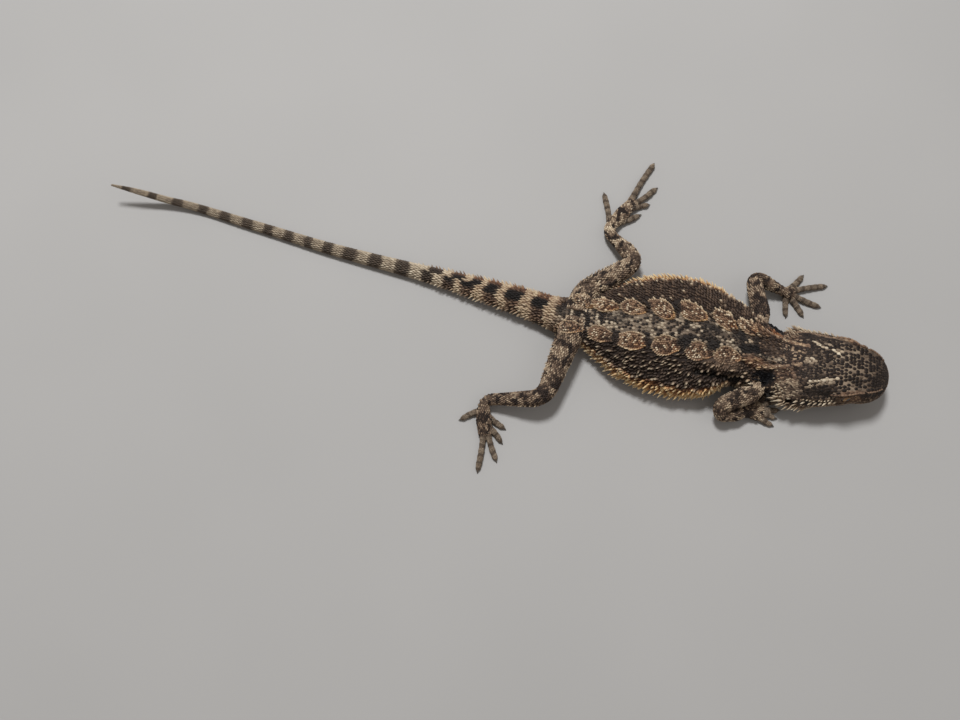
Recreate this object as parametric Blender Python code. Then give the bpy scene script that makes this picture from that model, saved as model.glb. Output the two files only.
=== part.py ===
"""Central bearded dragon, a juvenile lying flat on its belly, as a still life-size model.

Blender works in metres, +Z up. The sizes below are in millimetres and mesh_object scales them.
The origin is on the floor under the middle of the trunk, +X points to the head and +Y to the
animal's left. The trunk, neck, head and tail are lengths of one swept body surface.
"""

import math
import random

import bmesh
import bpy
import numpy as np
from mathutils import Matrix, Vector
from mathutils.bvhtree import BVHTree

MM = 0.001
GAP = 0.3  # clearance between touching nodes

# Where the body is parted, along x.
SNOUT = 51.6
HEAD_NECK = 27.0
NECK_TORSO = 23.4
TORSO_TAIL = -26.0
TAIL_BASE_MIDDLE = -60.0
TAIL_MIDDLE_END = -100.0
TAIL_TIP = -140.1

# Sideways run of the middle line: x, y.
MIDDLE_LINE = (
    (-140.1, 12.3), (-133.0, 12.45), (-124.0, 12.5), (-104.0, 10.4), (-84.0, 7.9), (-56.0, 5.4),
    (-36.0, 2.9), (-22.0, 0.9), (-8.0, 0.9), (6.0, 1.3), (14.0, 1.1), (20.0, -0.1), (26.0, -1.5),
    (31.0, -1.95), (38.0, -1.35), (51.6, -0.9),
)
# Body sections: x, half width, top, bottom (below 0 is cut flat on the floor), widest line's height.
SECTIONS = (
    (-140.1, 0.24, 6.25, 5.80, 6.02),
    (-133.4, 0.64, 4.90, 3.68, 4.28),
    (-125.0, 0.82, 2.75, 1.15, 1.95),
    (-115.0, 1.00, 1.95, 0.02, 0.98),
    (-104.0, 1.18, 2.20, -0.18, 1.02),
    (-92.0, 1.32, 2.48, -0.22, 1.12),
    (-78.0, 1.52, 2.85, -0.25, 1.30),
    (-65.0, 1.78, 3.35, -0.30, 1.52),
    (-52.0, 2.20, 4.10, -0.35, 1.85),
    (-39.0, 3.00, 5.20, -0.40, 2.30),
    (-29.0, 3.80, 6.20, -0.45, 2.65),
    (-25.0, 4.55, 6.90, -0.55, 2.90),
    (-21.0, 5.50, 7.80, -0.75, 3.10),
    (-16.0, 8.30, 8.80, -1.00, 3.20),
    (-10.0, 11.70, 9.80, -1.20, 3.30),
    (-4.0, 13.60, 10.50, -1.30, 3.40),
    (3.0, 14.50, 10.90, -1.30, 3.50),
    (9.0, 13.60, 10.90, -1.20, 3.70),
    (14.5, 11.10, 10.60, -0.90, 4.10),
    (19.0, 8.75, 10.20, -0.20, 4.70),
    (22.5, 8.20, 9.90, 0.60, 4.90),
    (25.0, 7.70, 10.10, 1.00, 5.10),
    (27.0, 8.10, 10.70, 1.20, 5.40),
    (29.5, 8.80, 11.40, 1.30, 5.30),
    (34.0, 8.95, 12.00, 1.60, 5.40),
    (40.0, 8.20, 11.80, 2.10, 5.60),
    (44.0, 6.95, 10.90, 2.60, 5.80),
)
NOSE_START = 44.0  # from here to the snout the section closes like the end of an egg
NOSE_BLUNTNESS = 2.3
BRIDGE_SLOPE = (1.8, 0.58)  # how the bridge of the nose falls: a straighter curve
SNOUT_HEIGHT = 6.2
RIDGE_SWAY = ((-30.0, 0.0), (-12.0, -1.0), (6.0, -1.2), (16.0, -0.9), (24.0, 0.0))
TOP_ROUNDNESS = 2.0
UNDER_ROUNDNESS = 2.3

# Swellings and hollows, alike on both sides: x, angle up from the side, spread along x,
# spread in degrees, height.
SWELLINGS = (
    (41.4, 44.0, 3.2, 10.0, 0.85),  # brow ridge
    (46.8, 46.0, 2.4, 10.0, 0.50),  # edge of the snout
    (46.6, 22.0, 2.4, 11.0, -0.28),  # hollow before the eye
    (41.6, 20.0, 2.4, 12.0, -0.35),  # eye socket
    (36.0, 32.0, 2.8, 10.0, -0.45),  # temple
    (30.5, -4.0, 3.0, 18.0, 0.55),  # jaw muscle
    (31.0, 58.0, 2.4, 12.0, 0.45),  # back of the skull
    (36.5, 90.0, 4.0, 13.0, -0.35),  # dip of the crown
    (44.5, 6.0, 8.0, 5.0, 0.16),  # upper lip
    (44.5, -12.0, 8.0, 6.0, 0.14),  # lower lip
    (28.5, -62.0, 3.2, 26.0, 0.45),  # beard
    (18.3, 42.0, 2.6, 20.0, 0.65),  # shoulder blade
    (-21.3, 38.0, 2.4, 20.0, 0.65),  # hip
    (-2.0, 74.0, 12.0, 7.0, -0.22),  # furrow beside the backbone
)

EYE_X = 41.6
EYE_ANGLE = 24.0
EYE_RADIUS = 2.0
EYE_DEPTH = 1.55  # of the eye's centre under the skin
LID_RADIUS = 1.62
LID_THICKNESS = 0.36
LID_STRETCH = (1.14, 0.9)
EAR_X = 29.8
EAR_ANGLE = 10.0
EAR_SIZE = (0.75, 1.15)
NOSTRIL_X = 48.4
NOSTRIL_ANGLE = 40.0
NOSTRIL_RADIUS = 0.42
MOUTH_HEIGHT = 5.5
MOUTH_GROOVE = 0.26
MOUTH_TURN = 128.0  # the mouth runs this far round each side, from straight ahead
MOUTH_CENTRE = (42.5, -1.4)

# Limbs. Each is one bent bar from inside the body to the knuckles: its joints (x, y, z), how far
# back from each joint its bend begins, the joints on both sides of the elbow or knee (a sharp one
# has two), half widths at even steps along each bone, and the toes' roots and tips (x, y), from
# the innermost.
LIMBS = {
    "foreleg_left": dict(
        nodes=("upper_arm_left", "forearm_left", "hand_left"),
        joints=((20.2, 4.0, 5.4), (20.9, 9.5, 6.0), (18.1, 19.3, 4.6), (27.0, 17.7, 1.7),
                (29.3, 18.1, 0.95)),
        corners=(2.0, 3.7, 1.0),
        elbow=(2, 2),
        widths=((2.7, 2.25, 2.0, 1.85), (1.8, 1.7, 1.4, 1.15), (1.15, 1.3, 1.8, 1.45)),
        toes=(
            ((27.6, 16.9), (28.15, 12.3)),
            ((28.4, 17.1), (32.1, 13.1)),
            ((28.9, 17.7), (35.8, 16.1)),
            ((28.8, 18.6), (36.9, 21.7)),
            ((28.1, 19.0), (31.1, 23.2)),
        ),
    ),
    "foreleg_right": dict(
        nodes=("upper_arm_right", "forearm_right", "hand_right"),
        joints=((20.4, -3.6, 5.8), (22.0, -9.4, 5.0), (14.5, -14.3, 5.0), (15.2, -16.1, 3.0),
                (21.3, -13.3, 1.65), (25.0, -12.7, 0.95)),
        corners=(2.0, 1.35, 1.35, 1.0),
        elbow=(2, 3),
        widths=((2.7, 2.35, 2.05, 1.8), (1.75, 1.7, 2.1, 1.65), (1.65, 1.85, 2.35, 1.9)),
        toes=(
            ((23.6, -11.4), (25.4, -8.6)),
            ((24.5, -11.5), (28.2, -9.5)),
            ((25.1, -12.3), (28.8, -11.6)),
            ((25.0, -13.4), (28.2, -13.6)),
            ((24.4, -14.2), (27.7, -15.4)),
        ),
    ),
    "hindleg_left": dict(
        nodes=("thigh_left", "shin_left", "foot_left"),
        joints=((-21.8, 1.5, 5.0), (-20.9, 7.2, 5.4), (-9.5, 17.4, 5.0), (-18.1, 25.3, 1.9),
                (-12.6, 35.0, 0.95)),
        corners=(2.0, 3.8, 2.6),
        elbow=(2, 2),
        widths=((3.3, 2.75, 2.5, 2.1), (2.05, 2.0, 1.65, 1.4), (1.4, 1.45, 1.8, 1.3)),
        toes=(
            ((-15.6, 28.2), (-10.6, 31.7)),
            ((-13.5, 32.3), (-8.9, 34.9)),
            ((-12.9, 33.6), (-7.5, 39.7)),
            ((-13.6, 34.2), (-9.1, 46.25)),
            ((-17.6, 28.2), (-20.1, 35.7)),
        ),
    ),
    "hindleg_right": dict(
        nodes=("thigh_right", "shin_right", "foot_right"),
        joints=((-21.6, -0.5, 5.0), (-23.0, -6.0, 5.5), (-25.9, -20.6, 5.6), (-39.9, -22.6, 1.9),
                (-38.0, -30.8, 0.95)),
        corners=(2.0, 3.6, 2.6),
        elbow=(2, 2),
        widths=((3.3, 2.95, 2.5, 2.1), (2.05, 1.9, 1.6, 1.4), (1.4, 1.45, 1.9, 1.4)),
        toes=(
            ((-38.4, -25.8), (-33.9, -28.1)),
            ((-37.3, -28.6), (-33.9, -31.5)),
            ((-37.5, -29.7), (-34.3, -35.9)),
            ((-38.4, -30.0), (-38.0, -39.1)),
            ((-40.0, -25.0), (-44.1, -27.9)),
        ),
    ),
}
LIMB_SIDES = 12
LIMB_RING_STEP = 1.0
CREASE = 0.62  # inside a bend a limb reaches this share of the way to the bend's middle
FOOT_FLATNESS = (0.96, 0.85, 0.58, 0.6)  # height over width, from the ankle to the knuckles
TOE_SIDES = 6
# A toe and its claw: distance from the tip, radius, height of its middle line.
TOE_KNUCKLE = 0.42  # rise of the toe's middle
TOE = ((2.6, 0.74, 0.56), (0.75, 0.68, 0.5), (0.15, 0.5, 0.5))
CLAW = ((-0.1, 0.28, 0.54), (-0.42, 0.18, 0.43), (-0.75, 0.05, 0.16))
TOE_ROOT_RADIUS = 0.84

# Rows of spines on the body: first and last x, number on each side, angle up from the side,
# length at the ends and the middle, width, lean back towards the tail, how much angle and
# length vary.
SPINE_ROWS = (
    dict(node="torso", start=-19.5, end=16.8, count=31, angle=-5.0, length=(0.9, 1.65), width=0.84,
         lean=0.5, vary=(3.0, 0.16)),
    dict(node="torso", start=-15.5, end=14.0, count=20, angle=6.0, length=(0.8, 1.3), width=0.76,
         lean=0.8, vary=(2.5, 0.16)),
    dict(node="tail_base", start=-57.0, end=-27.6, count=15, angle=12.0, length=(0.8, 1.4),
         width=0.76, lean=0.9, vary=(6.0, 0.12)),
    dict(node="tail_base", start=-46.0, end=-28.4, count=9, angle=52.0, length=(0.6, 0.8),
         width=0.62, lean=1.4, vary=(5.0, 0.12)),
    dict(node="head", start=27.9, end=31.9, count=4, angle=-3.0, length=(1.5, 1.5), width=0.8,
         lean=0.8, vary=(2.0, 0.14)),
    dict(node="head", start=27.9, end=34.0, count=6, angle=-17.0, length=(1.7, 1.7), width=0.8,
         lean=0.9, vary=(2.0, 0.14)),
    dict(node="head", start=27.9, end=36.0, count=7, angle=-33.0, length=(1.5, 1.7), width=0.78,
         lean=1.0, vary=(2.0, 0.14)),
    dict(node="head", start=28.2, end=36.4, count=6, angle=-58.0, length=(0.8, 1.1), width=0.68,
         lean=1.2, vary=(3.0, 0.14)),
    dict(node="head", start=31.6, end=39.4, count=6, angle=15.0, length=(0.7, 0.9), width=0.66,
         lean=1.3, vary=(1.5, 0.1)),
)
NAPE_SPINE_ANGLES = (24.0, 34.0, 45.0, 57.0, 70.0)
NAPE_SPINE_X = 28.2
NAPE_SPINE_LEAN = 0.45
NAPE_SPINE = (1.0, 0.68)
THIGH_SPINES = 5
THIGH_SPINE = (0.8, 0.66)
SPINE_SINK = 0.62  # of the root under the skin
SPINE_CLEAR = 0.6  # a spine nearer than this to a limb is left out

COLOURS = {
    "back": (0.235, 0.185, 0.14),
    "head": (0.30, 0.25, 0.19),
    "tail": (0.34, 0.28, 0.21),
    "limb": (0.30, 0.245, 0.19),
    "eye": (0.16, 0.09, 0.04),
}


def curve_through(table, column=1):
    """A monotone cubic through a table's points: no bump between two of them."""
    x = np.array([row[0] for row in table], float)
    y = np.array([row[column] for row in table], float)
    step = np.diff(x)
    slope = np.diff(y) / step
    tangent = np.zeros(len(x))
    same_way = slope[:-1] * slope[1:] > 0
    a, b = 2 * step[1:] + step[:-1], step[1:] + 2 * step[:-1]
    safe = np.where(same_way, slope[:-1] * slope[1:], 1.0)
    mean = (a + b) * safe / (a * slope[1:] + b * slope[:-1] + (~same_way))
    tangent[1:-1] = np.where(same_way, mean, 0.0)
    tangent[0], tangent[-1] = slope[0], slope[-1]

    def value(at):
        at = np.clip(np.asarray(at, float), x[0], x[-1])
        i = np.clip(np.searchsorted(x, at) - 1, 0, len(x) - 2)
        t = (at - x[i]) / step[i]
        rise = (3 - 2 * t) * t * t
        bend = tangent[i] * (t - 1) ** 2 * t + tangent[i + 1] * (t - 1) * t * t
        return y[i] * (1 - rise) + y[i + 1] * rise + bend * step[i]

    return value


middle_y = curve_through(MIDDLE_LINE)
half_width = curve_through(SECTIONS, 1)
top_height = curve_through(SECTIONS, 2)
under_height = curve_through(SECTIONS, 3)
widest_height = curve_through(SECTIONS, 4)
ridge_sway = curve_through(RIDGE_SWAY)


def power(value, roundness):
    return np.sign(value) * np.abs(value) ** (2.0 / roundness)


def body_points(x, degrees, grow=0.0):
    """Points of the body's surface. The section is two half superellipses that meet at the widest
    line: y = w cos, z = widest + height sin, each to a power; swellings push it out along its
    radius, and what falls below the floor is laid flat on it.
    """
    x, degrees = np.broadcast_arrays(np.asarray(x, float), np.asarray(degrees, float))
    width, top = half_width(x), top_height(x)
    under, widest = under_height(x), widest_height(x)
    along = np.clip((x - NOSE_START) / (SNOUT - NOSE_START), 0.0, 1.0)
    close = np.sqrt(1.0 - along**NOSE_BLUNTNESS)
    width = width * close
    widest = SNOUT_HEIGHT + (widest - SNOUT_HEIGHT) * close
    top = widest + (top - widest) * (1.0 - along ** BRIDGE_SLOPE[0]) ** BRIDGE_SLOPE[1]
    under = widest - (widest - under) * close
    turn = np.radians(degrees)
    side, rise = np.cos(turn), np.sin(turn)
    upper = rise >= 0
    across = np.where(upper, power(side, TOP_ROUNDNESS), power(side, UNDER_ROUNDNESS))
    climb = np.where(upper, power(rise, TOP_ROUNDNESS), power(rise, UNDER_ROUNDNESS))
    reach = np.where(upper, top - widest, widest - under) + grow
    swell = np.zeros_like(x)
    folded = np.degrees(np.arctan2(rise, np.abs(side)))
    for at, angle, spread, degrees_wide, height in SWELLINGS:
        swell += height * np.exp(-(((x - at) / spread) ** 2 + ((folded - angle) / degrees_wide) ** 2))
    y = (width + grow) * across + swell * side * np.clip(close, 0.2, 1)
    z = widest + reach * climb + swell * rise * np.clip(close, 0.2, 1)
    y += np.where(upper, ridge_sway(x) * climb, 0.0)
    slope = (middle_y(x + 0.5) - middle_y(x - 0.5)) / 1.0
    length = np.hypot(1.0, slope)
    floor = -grow
    return np.stack([x - y * slope / length, middle_y(x) + y / length, np.maximum(z, floor)], -1)


def body_normal(x, degrees):
    """Outward normal of the body at one point, from its neighbours."""
    along = body_points(x + 0.3, degrees) - body_points(x - 0.3, degrees)
    around = body_points(x, degrees + 2.0) - body_points(x, degrees - 2.0)
    normal = Vector(np.cross(around, along)).normalized()
    outward = Vector(body_points(x, degrees) - body_points(x, degrees + 180.0))
    return normal if normal.dot(outward) > 0 else -normal


def mesh_object(name, points, faces, material=None):
    """A mesh object from points in millimetres."""
    mesh = bpy.data.meshes.new(name)
    mesh.from_pydata([tuple(p) for p in np.asarray(points) * MM], [], [tuple(f) for f in faces])
    mesh.update()
    thing = bpy.data.objects.new(name, mesh)
    bpy.context.scene.collection.objects.link(thing)
    if material:
        mesh.materials.append(material)
    return thing


def ring_faces(rings, sides, first_pole, last_pole):
    """Quads between rings of points and a fan at each end, around one centre point each."""
    faces = []
    for i in range(rings - 1):
        for j in range(sides):
            k = (j + 1) % sides
            faces.append((i * sides + j, i * sides + k, (i + 1) * sides + k, (i + 1) * sides + j))
    for j in range(sides):
        k = (j + 1) % sides
        faces.append((k, j, first_pole))
        faces.append(((rings - 1) * sides + j, (rings - 1) * sides + k, last_pole))
    return faces


def swept(name, rings):
    """A closed solid from an array of rings, rings x sides x 3."""
    rings = np.asarray(rings, float)
    count, sides = rings.shape[:2]
    points = np.concatenate([rings.reshape(-1, 3), [rings[0].mean(0)], [rings[-1].mean(0)]])
    thing = mesh_object(name, points, ring_faces(count, sides, count * sides, count * sides + 1))
    face_outwards(thing)
    return thing


def face_outwards(thing):
    shell = bmesh.new()
    shell.from_mesh(thing.data)
    bmesh.ops.recalc_face_normals(shell, faces=shell.faces)
    if shell.calc_volume(signed=True) < 0:
        bmesh.ops.reverse_faces(shell, faces=shell.faces)
    shell.to_mesh(thing.data)
    shell.free()


def body_length(name, start, end, rings, sides, grow=0.0):
    """One length of the body between two x places, closer ringed towards the snout."""
    places = np.linspace(start, end, rings)
    if end > NOSE_START:
        flat_count = int(rings * 0.66)
        flat = np.linspace(start, NOSE_START, flat_count, endpoint=False)
        turn = np.linspace(0.0, math.pi / 2, rings - flat_count + 1)[:-1]
        places = np.append(flat, NOSE_START + (end - NOSE_START) * np.sin(turn))
        places = np.append(places, end - 0.02)
    angles = np.arange(sides) * 360.0 / sides
    return swept(name, body_points(places[:, None], angles[None, :], grow))


def line_points(start, end, step):
    count = max(1, round((end - start).length / step))
    return [start.lerp(end, (i + 1) / count) for i in range(count)]


def run_length(points):
    return sum((b - a).length for a, b in zip(points, points[1:]))


def rounded_path(joints, corners, step=0.5):
    """Points along straight bones whose corners are bent round, and each joint's distance."""
    joints = [Vector(joint) for joint in joints]
    points, marks = [joints[0]], [0.0]
    for before, joint, after, corner in zip(joints, joints[1:], joints[2:], corners):
        start = joint + (before - joint).normalized() * corner
        end = joint + (after - joint).normalized() * corner
        points += line_points(points[-1], start, step)
        bend = [start.lerp(joint, t).lerp(joint.lerp(end, t), t) for t in np.linspace(0.1, 1, 10)]
        marks.append(run_length(points + bend[:5]))
        points += bend
    points += line_points(points[-1], joints[-1], step)
    marks.append(run_length(points))
    return points, marks


def path_between(points, start, end, count):
    """Evenly spaced points of a path between two distances along it, with their directions
    and the vector that points to the middle of the local bend, divided by its radius.
    """
    array = np.array([tuple(p) for p in points])
    away = np.append(0.0, np.cumsum(np.linalg.norm(np.diff(array, axis=0), axis=1)))

    def at(distance):
        return np.stack([np.interp(distance, away, array[:, k]) for k in range(3)], -1)

    middle = np.linspace(start, end, count)
    reach = 0.6
    low, high = np.maximum(middle - reach, 0.0), np.minimum(middle + reach, away[-1])
    direction = at(high) - at(low)
    direction /= np.linalg.norm(direction, axis=1, keepdims=True)
    bend = (at(middle + reach) + at(middle - reach) - 2 * at(middle)) / reach**2
    bend[(middle < reach) | (middle > away[-1] - reach)] = 0.0
    return at(middle), direction, bend


def tube(name, places, directions, half_widths, half_heights, sides, bends=None, grow=0.0):
    """A tapering round bar: each ring is an ellipse across its direction. Inside a sharp bend
    the ring stops at a share of the bend's radius, so that no two rings cross.
    """
    up = np.array([0.0, 0.0, 1.0])
    sideways = np.cross(up, directions)
    sideways /= np.linalg.norm(sideways, axis=1, keepdims=True)
    upwards = np.cross(directions, sideways)
    turn = np.arange(sides) * 2 * math.pi / sides
    wide = np.asarray(half_widths)[:, None, None] * np.cos(turn)[None, :, None]
    high = np.asarray(half_heights)[:, None, None] * np.sin(turn)[None, :, None]
    out = wide * sideways[:, None, :] + high * upwards[:, None, :]
    if bends is not None:
        tightness = np.linalg.norm(bends, axis=1)[:, None, None] + 1e-6
        inwards = bends[:, None, :] / tightness
        inner = (out * inwards).sum(-1, keepdims=True)
        out = out - inwards * np.maximum(inner - CREASE / tightness - grow, 0.0)
    return swept(name, places[:, None, :] + out)


def spine(root, direction, length, width, droop=0.0):
    """A curved four-sided spine whose root lies under the skin."""
    root, direction = Vector(root), Vector(direction).normalized()
    side = direction.cross(Vector((0, 0, 1)))
    if side.length < 0.2:
        side = direction.cross(Vector((0, 1, 0)))
    side.normalize()
    over = side.cross(direction)
    levels = ((-SPINE_SINK, 1.0), (length * 0.35, 0.66))
    rings = []
    for away, share in levels:
        middle = root + direction * away
        half = width / 2 * share
        rings.append([middle + side * half, middle + over * half,
                      middle - side * half, middle - over * half])
    tip = root + direction * length + Vector((0, 0, -droop * length))
    points = [tuple(p) for ring in rings for p in ring] + [tuple(tip)]
    faces = [(3, 2, 1, 0)]
    for j in range(4):
        k = (j + 1) % 4
        faces.append((j, k, 4 + k, 4 + j))
        faces.append((4 + j, 4 + k, 8))
    thing = mesh_object("spine", points, faces)
    face_outwards(thing)
    return thing


def apply_boolean(target, tools, operation):
    """Joins the tools to the target, or cuts them from it, and removes them."""
    group = bpy.data.collections.new("tools")
    bpy.context.scene.collection.children.link(group)
    for tool in tools:
        for home in tool.users_collection:
            home.objects.unlink(tool)
        group.objects.link(tool)
    step = target.modifiers.new("boolean", "BOOLEAN")
    step.operation = operation
    step.operand_type = "COLLECTION"
    step.collection = group
    step.solver = "EXACT"
    bpy.context.view_layer.update()
    graph = bpy.context.evaluated_depsgraph_get()
    result = bpy.data.meshes.new_from_object(target.evaluated_get(graph))
    target.modifiers.clear()
    target.data = result
    for tool in tools:
        bpy.data.objects.remove(tool)
    bpy.data.collections.remove(group)
    keep_largest_shell(target)
    return target


def keep_largest_shell(thing):
    """Keeps the connected surface that holds most volume, welded and in triangles."""
    shell = bmesh.new()
    shell.from_mesh(thing.data)
    bmesh.ops.remove_doubles(shell, verts=shell.verts, dist=2e-7)
    bmesh.ops.triangulate(shell, faces=shell.faces)
    left = set(shell.verts)
    islands = []
    while left:
        stack = [left.pop()]
        island = set(stack)
        while stack:
            for edge in stack.pop().link_edges:
                for corner in edge.verts:
                    if corner in left:
                        left.discard(corner)
                        island.add(corner)
                        stack.append(corner)
        islands.append(island)
    largest = max(islands, key=len)
    loose = [v for v in shell.verts if v not in largest]
    bmesh.ops.delete(shell, geom=loose, context="VERTS")
    shell.to_mesh(thing.data)
    shell.free()


def finish(thing, name, material):
    """Names the node and gives it its material and shading."""
    thing.name = name
    thing.data.name = name
    thing.data.materials.clear()
    thing.data.materials.append(material)
    thing.data.shade_smooth()
    thing.data.set_sharp_from_angle(angle=math.radians(50))
    return thing


def limb_runs():
    """Each limb's middle line, and the distance of its joints along it."""
    return {name: rounded_path(limb["joints"], limb["corners"]) for name, limb in LIMBS.items()}


def obstacles(runs):
    """Balls that cover the limbs and toes, as rows of x, y, z, radius."""
    balls = []
    for name, (points, marks) in runs.items():
        for place in path_between(points, 0.0, marks[-1], 40)[0]:
            balls.append((*place, 2.3))
        for root, tip in LIMBS[name]["toes"]:
            for share in np.linspace(0, 1, 8):
                x, y = np.array(root) + (np.array(tip) - np.array(root)) * share
                balls.append((x, y, 0.6, 0.9))
    return np.array(balls)


def is_clear(place, balls, margin):
    return (np.linalg.norm(balls[:, :3] - np.array(place), axis=1) > balls[:, 3] + margin).all()


def row_spines(node, balls, draw):
    """The spines of every row on one body node, on both sides."""
    made = []
    for row in SPINE_ROWS:
        if row["node"] != node:
            continue
        for i in range(row["count"]):
            share = (i + 0.5) / row["count"]
            for mirrored in (False, True):
                x = row["start"] + (row["end"] - row["start"]) * share + draw.uniform(-0.2, 0.2)
                angle = row["angle"] + draw.uniform(-1, 1) * row["vary"][0]
                low, high = row["length"]
                size = low + (high - low) * math.sin(math.pi * share)
                size *= 1 + draw.uniform(-1, 1) * row["vary"][1]
                place_angle = 180.0 - angle if mirrored else angle
                place = Vector(body_points(x, place_angle))
                direction = body_normal(x, place_angle) + Vector((-row["lean"], 0, 0)) * 0.75
                tip = place + direction.normalized() * size
                if is_clear(place, balls, SPINE_CLEAR) and is_clear(tip, balls, SPINE_CLEAR):
                    made.append(spine(place, direction, size, row["width"]))
    return made


def nape_spines(draw):
    made = []
    for angle in NAPE_SPINE_ANGLES:
        for mirrored in (False, True):
            place_angle = 180.0 - angle if mirrored else angle
            x = NAPE_SPINE_X + draw.uniform(0.0, 0.5)
            place = Vector(body_points(x, place_angle))
            direction = body_normal(x, place_angle) + Vector((-NAPE_SPINE_LEAN, 0, 0))
            size = NAPE_SPINE[0] * draw.uniform(0.85, 1.1)
            made.append(spine(place, direction, size, NAPE_SPINE[1]))
    return made


def ball(centre, sizes, turn, segments, rings):
    """An ellipsoid as a mesh object, its own z axis turned to the given direction."""
    shell = bmesh.new()
    bmesh.ops.create_uvsphere(shell, u_segments=segments, v_segments=rings, radius=1.0)
    place = Matrix.Translation(Vector(centre) * MM) @ turn.to_4x4()
    place = place @ Matrix.Diagonal((sizes[0] * MM, sizes[1] * MM, sizes[2] * MM, 1.0))
    bmesh.ops.transform(shell, matrix=place, verts=shell.verts)
    bmesh.ops.triangulate(shell, faces=shell.faces)
    mesh = bpy.data.meshes.new("ball")
    shell.to_mesh(mesh)
    shell.free()
    thing = bpy.data.objects.new("ball", mesh)
    bpy.context.scene.collection.objects.link(thing)
    return thing


def head_frame(x, angle, mirrored):
    """A place on the head's skin and a turn whose z is outward and whose x runs forwards."""
    at = 180.0 - angle if mirrored else angle
    place = Vector(body_points(x, at))
    outward = body_normal(x, at)
    forward = Vector((1, 0, 0)) - outward * outward.x
    forward.normalize()
    sideways = outward.cross(forward)
    return place, outward, Matrix((forward, sideways, outward)).transposed()


def mouth_groove(head):
    """A thin tube round the jaws at the mouth's height, found by rays from inside the head."""
    graph = bpy.context.evaluated_depsgraph_get()
    tree = BVHTree.FromObject(head, graph)
    centre = Vector((*MOUTH_CENTRE, MOUTH_HEIGHT))
    places = []
    for heading in np.linspace(-MOUTH_TURN, MOUTH_TURN, 27):
        turn = math.radians(heading)
        lift = 0.35 * math.cos(turn) - 0.25 * (abs(heading) / MOUTH_TURN) ** 4
        start = centre + Vector((0, 0, lift))
        hit = tree.ray_cast(start * MM, Vector((math.cos(turn), math.sin(turn), 0)))[0]
        places.append(tuple(hit / MM))
    places = np.array(places)
    directions = np.gradient(places, axis=0)
    directions /= np.linalg.norm(directions, axis=1, keepdims=True)
    size = np.full(len(places), MOUTH_GROOVE)
    return tube("mouth", places, directions, size, size, 4)


def build_head(material, eye_material, balls, draw):
    head = body_length("head", HEAD_NECK + GAP / 2, SNOUT, 27, 30)
    added = row_spines("head", balls, draw) + nape_spines(draw)
    cutters = [mouth_groove(head)]
    for mirrored in (False, True):
        place, outward, turn = head_frame(EYE_X, EYE_ANGLE, mirrored)
        bpy.ops.mesh.primitive_torus_add(
            major_segments=16, minor_segments=5,
            major_radius=LID_RADIUS * MM, minor_radius=LID_THICKNESS * MM,
        )
        lid = bpy.context.object
        squash = Matrix.Diagonal((*LID_STRETCH, 1.0, 1.0))
        lid.data.transform(Matrix.Translation(place * MM) @ turn.to_4x4() @ squash)
        added.append(lid)
        centre = place - outward * EYE_DEPTH
        side = "right" if mirrored else "left"
        cutters.append(ball(centre, (EYE_RADIUS + GAP,) * 3, turn, 18, 10))
        eye = ball(centre, (EYE_RADIUS,) * 3, turn, 16, 9)
        finish(eye, "eye_" + side, eye_material)
        place, outward, turn = head_frame(EAR_X, EAR_ANGLE, mirrored)
        cutters.append(ball(place, (*EAR_SIZE, 0.8), turn, 10, 6))
        place, outward, turn = head_frame(NOSTRIL_X, NOSTRIL_ANGLE, mirrored)
        cutters.append(ball(place, (NOSTRIL_RADIUS,) * 3, turn, 8, 6))
    apply_boolean(head, added, "UNION")
    apply_boolean(head, cutters, "DIFFERENCE")
    return finish(head, "head", material)


def build_body(materials, balls, draw):
    torso = body_length("torso", TORSO_TAIL + GAP / 2, NECK_TORSO - GAP / 2, 30, 28)
    apply_boolean(torso, row_spines("torso", balls, draw), "UNION")
    finish(torso, "torso", materials["back"])
    neck = body_length("neck", NECK_TORSO + GAP / 2, HEAD_NECK - GAP / 2, 5, 28)
    finish(neck, "neck", materials["head"])
    tail = body_length("tail_base", TAIL_BASE_MIDDLE + GAP / 2, TORSO_TAIL - GAP / 2, 20, 16)
    apply_boolean(tail, row_spines("tail_base", balls, draw), "UNION")
    finish(tail, "tail_base", materials["tail"])
    middle = body_length("tail_middle", TAIL_MIDDLE_END + GAP / 2, TAIL_BASE_MIDDLE - GAP / 2, 15, 12)
    finish(middle, "tail_middle", materials["tail"])
    end = body_length("tail_end", TAIL_TIP, TAIL_MIDDLE_END - GAP / 2, 16, 10)
    finish(end, "tail_end", materials["tail"])


def bone(name, run, start, end, widths, flatness=(1.0, 1.0), grow=0.0):
    """One length of a limb's bar."""
    count = max(6, round((end - start) / LIMB_RING_STEP))
    places, directions, bends = path_between(run, start, end, count)
    share = np.linspace(0, 1, count)
    half = np.interp(share, np.linspace(0, 1, len(widths)), widths)
    flat = np.interp(share, np.linspace(0, 1, len(flatness)), flatness)
    return tube(name, places, directions, half + grow, half * flat + grow, LIMB_SIDES, bends, grow)


def thigh_spines(run, start, end, widths, draw):
    """A loose row of spines along the back edge of an upper limb."""
    places, directions, _ = path_between(run, start + 4.5, end - 1.0, THIGH_SPINES)
    made = []
    for i, (place, direction) in enumerate(zip(places, directions)):
        half = np.interp(i / THIGH_SPINES, np.linspace(0, 1, len(widths)), widths)
        sideways = np.cross((0, 0, 1), direction)
        back = sideways if sideways[0] < 0 else -sideways
        out = Vector(back * 0.55 + np.array([0, 0, 0.83])).normalized()
        root = Vector(place) + out * half * 0.97
        lean = out + Vector(direction) * 0.5
        made.append(spine(root, lean, THIGH_SPINE[0] * draw.uniform(0.85, 1.15), THIGH_SPINE[1]))
    return made


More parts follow.
